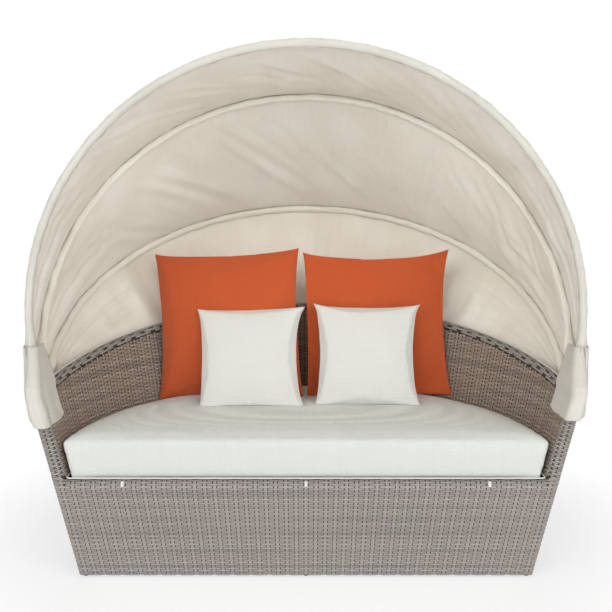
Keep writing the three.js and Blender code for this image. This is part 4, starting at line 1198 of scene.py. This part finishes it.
def seat_cushion():
    low, high = cushion_outline(1, COVER_INSET), cushion_outline(0, COVER_INSET)
    bpy.ops.mesh.primitive_circle_add(vertices=len(low), radius=1, fill_type="NGON")
    cover = just_made("seat_cushion_cover")
    write_points(cover, np.column_stack([low, np.full(len(low), CUSHION_BOTTOM + COVER_THIN)]))
    up = (0, 0, CUSHION_THICK - 2 * COVER_THIN)
    edit_all(cover, bpy.ops.mesh.extrude_region_move, TRANSFORM_OT_translate={"value": up})
    points = read_points(cover)
    points[points[:, 2] > (CUSHION_BOTTOM + CUSHION_TOP) / 2, :2] = high
    write_points(cover, points)
    outwards_everywhere(cover)
    apply_modifier(cover, "REMESH", mode="VOXEL", voxel_size=COVER_VOXEL)
    inflate(cover, pressure=4.0, cap=0.013, stiffness=15)
    points = read_points(cover)
    rest = np.clip((points[:, 2] - CUSHION_BOTTOM) / CUSHION_THICK, 0, 1)
    points[:, 2] = np.maximum(points[:, 2], CUSHION_BOTTOM + LIE_GAP)
    edge = np.minimum(1, np.abs(points[:, 0]) / CUSHION_HALF) ** 2
    depth = np.clip((points[:, 1] + FRONT) / CUSHION_DEPTH, 0, 1)
    crown = CROWN * np.sqrt(np.clip((1 - edge) * 4 * depth * (1 - depth), 0, 1))
    points[:, 2] += crown * rest
    points[:, 1] = np.maximum(points[:, 1], CUSHION_FRONT - CUSHION_PROUD - FRONT)
    plan = points[:, :2] + [0, FRONT]
    wall = outer_radius(points[:, 2]) - WALL / math.cos(LEAN) - CUSHION_WALL_GAP
    points[:, :2] = plan * np.minimum(1, wall / np.linalg.norm(plan, axis=1))[:, None] - [0, FRONT]
    write_points(cover, points)
    round_off(cover)
    finish_piece(cover, CUSHION, "cushion_cloth", "base", "seat_cushion")
    return cover


cushion = seat_cushion()

# %% Piping along the cushion's lower edge and the canopy's hem
PIPING_RADIUS = 0.0024
PIPING_SIDES = 8
PIPING_HEIGHT, PIPING_INSET = 0.0085, 0.0035    # from the cushion's underside and its lower edge
HEM_PIPING_RADIUS = 0.0026
HEM_PIPING_TURN = math.radians(82)              # round the rail from its outer side
HEM_PIPING_REACH = WALL / 2 + 0.0050


def piping(name, path, radius, slot, closed):
    """A round cord in its cover, swept along a path of points."""
    count = len(path)
    if closed:
        travel = np.roll(path, -1, axis=0) - np.roll(path, 1, axis=0)
    else:
        travel = np.gradient(path, axis=0)
    travel = unit(travel)
    level = unit(np.cross(travel, [0.0, 0.0, 1.0]))
    upright = np.cross(level, travel)
    piece, i, j = flat_grid(name, count + closed, PIPING_SIDES + 1)
    i %= count
    turn = 2 * math.pi * j / PIPING_SIDES
    write_points(piece, path[i] + level[i] * (radius * np.cos(turn))[:, None]
                 + upright[i] * (radius * np.sin(turn))[:, None])
    apply_modifier(piece, "WELD", merge_threshold=SAME_SEAM)
    outwards_everywhere(piece)
    smooth(piece)
    finish_piece(piece, PIPING, slot, "base")


outline = cushion_outline(1, PIPING_INSET, 220)
outline = np.concatenate([outline, np.linspace(outline[-1], outline[0], 60)[1:-1]])
lower_edge = np.column_stack([outline, np.full(len(outline), CUSHION_BOTTOM + PIPING_HEIGHT)])
piping("cushion_piping_bottom", lower_edge, PIPING_RADIUS, "cushion_cloth", True)

turn = np.linspace(HEM_ANGLE, math.pi - HEM_ANGLE, 260)
out = wall_out(turn) * math.cos(HEM_PIPING_TURN) + wall_up(turn) * math.sin(HEM_PIPING_TURN)
piping("rear_hem_piping", rail_line(turn) + out * HEM_PIPING_REACH, HEM_PIPING_RADIUS, "canopy_cloth",
       False)

# %% Pillows
PILLOW_STEPS = 64
PILLOW_SHAPES = {
    "orange": {"size": 0.546, "front": 0.054, "back": 0.054, "lean": 9},
    "white": {"size": 0.388, "front": 0.042, "back": 0.018, "lean": 22},
}
PLACED = ("x", "y", "yaw", "roll", "rise", "seed", "pulls", "tuck")
PILLOWS = {
    "orange_pillow_left": (-0.262, 0.492, -6, -3.0, 0.020, 1, (0.07, 0.05, 0.04, 0.05), 0.024),
    "orange_pillow_right": (0.260, 0.506, 5, -0.6, 0.023, 2, (0.02, 0.09, 0.03, 0.10), 0.0),
    "white_pillow_left": (-0.180, 0.350, -1.5, -2.0, 0.010, 3, (0.05, 0.13, 0.03, 0.02), 0.0),
    "white_pillow_right": (0.205, 0.364, -1, 0.2, 0.019, 4, (0.09, 0.11, 0.03, 0.05), 0.0),
}
PILLOW_PROFILE = 0.72       # how full a pillow stays towards its seams
BEFORE_FILLING = 0.86       # the share of its depth that it starts with
PILLOW_SEAM = 0.0008
CREASES = ((7, 0, 0.0035), (22, 4, 0.0012))     # how close together, seed and depth
CREASE_EDGE = 6             # the creases begin within a sixth of the way in from a seam
TUCK_SLOPE, TUCK_DEPTH = 1.2, 0.012
LOOK_FROM, LOOK_DOWN = 0.06, 0.2    # how far over a point, and down, the cushion is looked for


def pillow_cover(name, facts):
    """Two square cloths sewn together along their edges, before filling: X across, Z up, Y deep."""
    bpy.ops.mesh.primitive_grid_add(x_subdivisions=PILLOW_STEPS, y_subdivisions=PILLOW_STEPS, size=1)
    cover = just_made(name + "_cover")
    edit_all(cover, bpy.ops.mesh.duplicate_move, TRANSFORM_OT_translate={"value": (0, 0, 1)})
    flat = read_points(cover)
    a, b = 2 * flat[:, 0], 2 * flat[:, 1]
    full = (np.clip(1 - a ** 2, 0, 1) * np.clip(1 - b ** 2, 0, 1)) ** PILLOW_PROFILE
    half = facts["size"] / 2
    left, right, bottom, top = facts["pulls"]
    x = half * (a - np.where(a > 0, right, -left) * (1 - b ** 2) * a ** 2)
    z = half * (b - np.where(b > 0, top, -bottom) * (1 - a ** 2) * b ** 2)
    depth = np.where(flat[:, 2] > 0.5, facts["back"], -facts["front"]) * full * BEFORE_FILLING
    write_points(cover, np.stack([x, depth, z + half], axis=-1))
    apply_modifier(cover, "WELD", merge_threshold=PILLOW_SEAM)
    outwards_everywhere(cover)
    return cover


def tuck_corner(points, facts):
    """Folds the ear at the upper left corner down over the front."""
    corner = np.array([-facts["size"] / 2, facts["size"]])
    inwards = np.array([1, -1]) / math.sqrt(2)
    past = np.clip(facts["tuck"] - (points[:, [0, 2]] - corner) @ inwards, 0, None)
    points[:, 0] += 2 * past * inwards[0]
    points[:, 2] += 2 * past * inwards[1]
    points[:, 1] -= np.minimum(past * TUCK_SLOPE, TUCK_DEPTH)


def lay_pillow(name, cover, facts):
    """The points of a filled pillow with its creases, leant and set down in its place."""
    points = read_points(cover)
    half = facts["size"] / 2
    edge = np.clip(1 - np.maximum(np.abs(points[:, 0]), np.abs(points[:, 2] - half)) / half, 0, 1)
    creases = sum(np.array([uneven(x * close, z * close, facts["seed"] + step) for x, _, z in points])
                  * depth for close, step, depth in CREASES)
    points += read_points(cover, "normal") * (creases * np.clip(edge * CREASE_EDGE, 0, 1))[:, None]
    if facts["tuck"] > 0:
        tuck_corner(points, facts)
    turn = (Matrix.Rotation(math.radians(facts["yaw"]), 3, "Z")
            @ Matrix.Rotation(math.radians(-facts["lean"]), 3, "X")
            @ Matrix.Rotation(math.radians(facts["roll"]), 3, "Y"))
    points = points @ np.array(turn).T
    points[:, :2] += np.array([facts["x"], facts["y"] - FRONT])
    points[:, 2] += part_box(name)[1].z + facts["rise"] - points[:, 2].max()
    return points


def add_pillow(name, facts, material, slot):
    cover = pillow_cover(name, facts)
    inflate(cover, pressure=3.5, cap=0.014, stiffness=20)
    apply_modifier(cover, "SMOOTH", factor=0.5, iterations=4)
    points = lay_pillow(name, cover, facts)
    for point in points:
        above = Vector((point[0], point[1], point[2] + LOOK_FROM))
        hit = cushion_top.ray_cast(above, Vector((0, 0, -1)), LOOK_DOWN)
        if hit[0] is not None:
            point[2] = max(point[2], hit[0].z + LIE_GAP)
    write_points(cover, points)
    round_off(cover)
    finish_piece(cover, material, slot, "base", name)


cushion_top = BVHTree.FromPolygons([v.co for v in cushion.data.vertices],
                                   [tuple(f.vertices) for f in cushion.data.polygons])
for name, values in PILLOWS.items():
    colour = name.split("_")[0]
    facts = {**PILLOW_SHAPES[colour], **dict(zip(PLACED, values))}
    add_pillow(name, facts, ORANGE if colour == "orange" else WHITE, colour + "_cloth")

# %% [markdown]
# ## Ties
# Short cloth tapes hold the cushion to the front tube. Each is a thin strip that hangs over the roll.

# %% Cloth ties
TIE_WIDTH = 0.009
TIE_CLOTH = 0.0012
TIE_COLUMNS = 5
TIE_PATH = np.array([       # depth and height, from under the cushion down over the roll
    (CUSHION_FRONT + 0.004, CUSHION_BOTTOM + 0.0002), (0.004, SEAT - 0.001), (0.0005, SEAT - 0.005),
    (-0.0018, SEAT - 0.009), (-0.0024, SEAT - 0.013)])


def tie(place, x):
    tape, i, j = flat_grid("cushion_tape_" + place, TIE_COLUMNS, len(TIE_PATH))
    across = (i / (TIE_COLUMNS - 1) - 0.5) * TIE_WIDTH
    depth, height = TIE_PATH[j].T
    write_points(tape, np.column_stack([x + across, depth - FRONT - TIE_CLOTH, height]))
    apply_modifier(tape, "SOLIDIFY", thickness=TIE_CLOTH, offset=0)
    apply_modifier(tape, "SUBSURF", levels=2, render_levels=2)
    outwards_everywhere(tape)
    smooth(tape)
    finish_piece(tape, PIPING, "cushion_cloth", "base", "cushion_tie_" + place)


for place, x in (("left", -0.540), ("middle", 0.0), ("right", 0.540)):
    tie(place, x)

# %% [markdown]
# ## Metal and plastic parts
# The frame, the bows, the straps, the pivots and the feet keep their measured shapes. They only get
# finishes: powder coat with a fine orange-peel, zinc with soft scratches, nylon and black plastic.

# %% Hard finishes
def hard_finish(name, light, dark, roughness, metallic, mottling, bump):
    finish = Finish(name, Metallic=metallic)
    place = finish.place()
    mottled = finish.grain(place, (1, 1, 1), mottling, 3.0).span(*MIDDLE)
    finish.colour(finish.mix(mottled, paint(*dark), paint(*light)))
    finish.rough(mottled * 0.12 + roughness)
    finish.bump(finish.grain(place, (1, 1, 1), 900, 1.0), bump)
    return finish.material


HARD_FINISHES = {
    "frame_metal": hard_finish("frame_coat", (92, 86, 80), (76, 71, 66), 0.42, 0.4, 30, 0.0001),
    "bow_metal": hard_finish("bow_coat", (196, 192, 186), (180, 176, 170), 0.4, 0.5, 25, 0.0001),
    "pivot_steel": hard_finish("zinc", (205, 205, 204), (178, 178, 178), 0.3, 1.0, 60, 0.00005),
    "washer_nylon": hard_finish("nylon", (232, 230, 224), (222, 219, 212), 0.5, 0, 40, 0.00005),
    "foot_plastic": hard_finish("glide", (34, 34, 34), (22, 22, 22), 0.5, 0, 80, 0.0001),
}
for entry in frame["record"]["subparts"]:
    if entry["material_slot"] in HARD_FINISHES:
        dress(frame["nodes"][entry["node"]], HARD_FINISHES[entry["material_slot"]])

# %% [markdown]
# ## Floor, light and background
# A plain pale floor keeps the daybed's soft shadow. Large lamps in front and above give even light,
# and the background is white to the camera without adding light to the object.

# %% Floor
FADE_MIDDLE = 0.3           # the floor fades to white round this depth
FADE = (0.8, 1.7)           # squares of the distances between which it fades
WHITE_NEAR = 0.6            # how white it is to the camera already beneath the daybed

bpy.ops.mesh.primitive_plane_add(size=30, location=(0, 0, 0))
floor = just_made("floor")
floor_finish = Finish("floor_finish", Roughness=0.95, Specular_IOR_Level=0.0)
floor_finish.colour(paint(252, 252, 252))
across, deep, _ = floor_finish.parts(floor_finish.place())
deep = deep - FADE_MIDDLE
far = (across * across + deep * deep).span(*FADE)
path = floor_finish.node("ShaderNodeLightPath")
seen = floor_finish.wire(path, "Is Camera Ray") + floor_finish.wire(path, "Is Glossy Ray")
mixed = floor_finish.node("ShaderNodeMixShader", None, {
    0: (far * (1 - WHITE_NEAR) + WHITE_NEAR) * seen, 1: Wire(floor_finish, floor_finish.shader.outputs[0]),
    2: floor_finish.wire(floor_finish.node("ShaderNodeEmission"))})
floor_finish.feed(floor_finish.tree.nodes["Material Output"].inputs[0], floor_finish.wire(mixed))
dress(floor, floor_finish.material)

# %% Lamps and world
LAMPS = [                   # name, place, size and power
    ("front_left", (-2.0, -4.5, 2.6), 2.5, 80),
    ("front_right", (2.0, -4.5, 2.2), 2.5, 68),
    ("front", (0.0, -5.0, 1.3), 3.0, 32),
    ("side_left", (-2.8, -2.4, 1.5), 2.0, 41),
    ("side_right", (2.8, -2.4, 1.5), 2.0, 47),
    ("top", (0.0, -0.3, 3.6), 3.0, 44),
    ("back", (0.0, 3.2, 2.6), 3.0, 55),
]
LIT_PLACE = Vector((0, 0.2, 0.6))
for name, place, size, power in LAMPS:
    lamp = bpy.data.lights.new(name, "AREA")
    lamp.size = size
    lamp.energy = power
    holder = bpy.data.objects.new(name, lamp)
    holder.location = place
    holder.rotation_euler = (LIT_PLACE - Vector(place)).to_track_quat("-Z", "Y").to_euler()
    bpy.context.collection.objects.link(holder)

WORLD_LIGHT = 0.08
world = bpy.data.worlds.new("studio")
bpy.context.scene.world = world
world.use_nodes = True
tree = world.node_tree
tree.nodes.clear()
paths, seen, light, backdrop, chosen, shown = [
    tree.nodes.new("ShaderNode" + kind)
    for kind in ("LightPath", "Math", "Background", "Background", "MixShader", "OutputWorld")]
seen.operation = "MAXIMUM"
for node, strength in ((light, WORLD_LIGHT), (backdrop, 1.0)):
    node.inputs["Color"].default_value = (1, 1, 1, 1)
    node.inputs["Strength"].default_value = strength
for source, output, target, number in (
        (paths, "Is Camera Ray", seen, 0), (paths, "Is Glossy Ray", seen, 1), (seen, 0, chosen, 0),
        (light, 0, chosen, 1), (backdrop, 0, chosen, 2), (chosen, 0, shown, 0)):
    tree.links.new(source.outputs[output], target.inputs[number])
bpy.context.scene.view_settings.view_transform = "Standard"
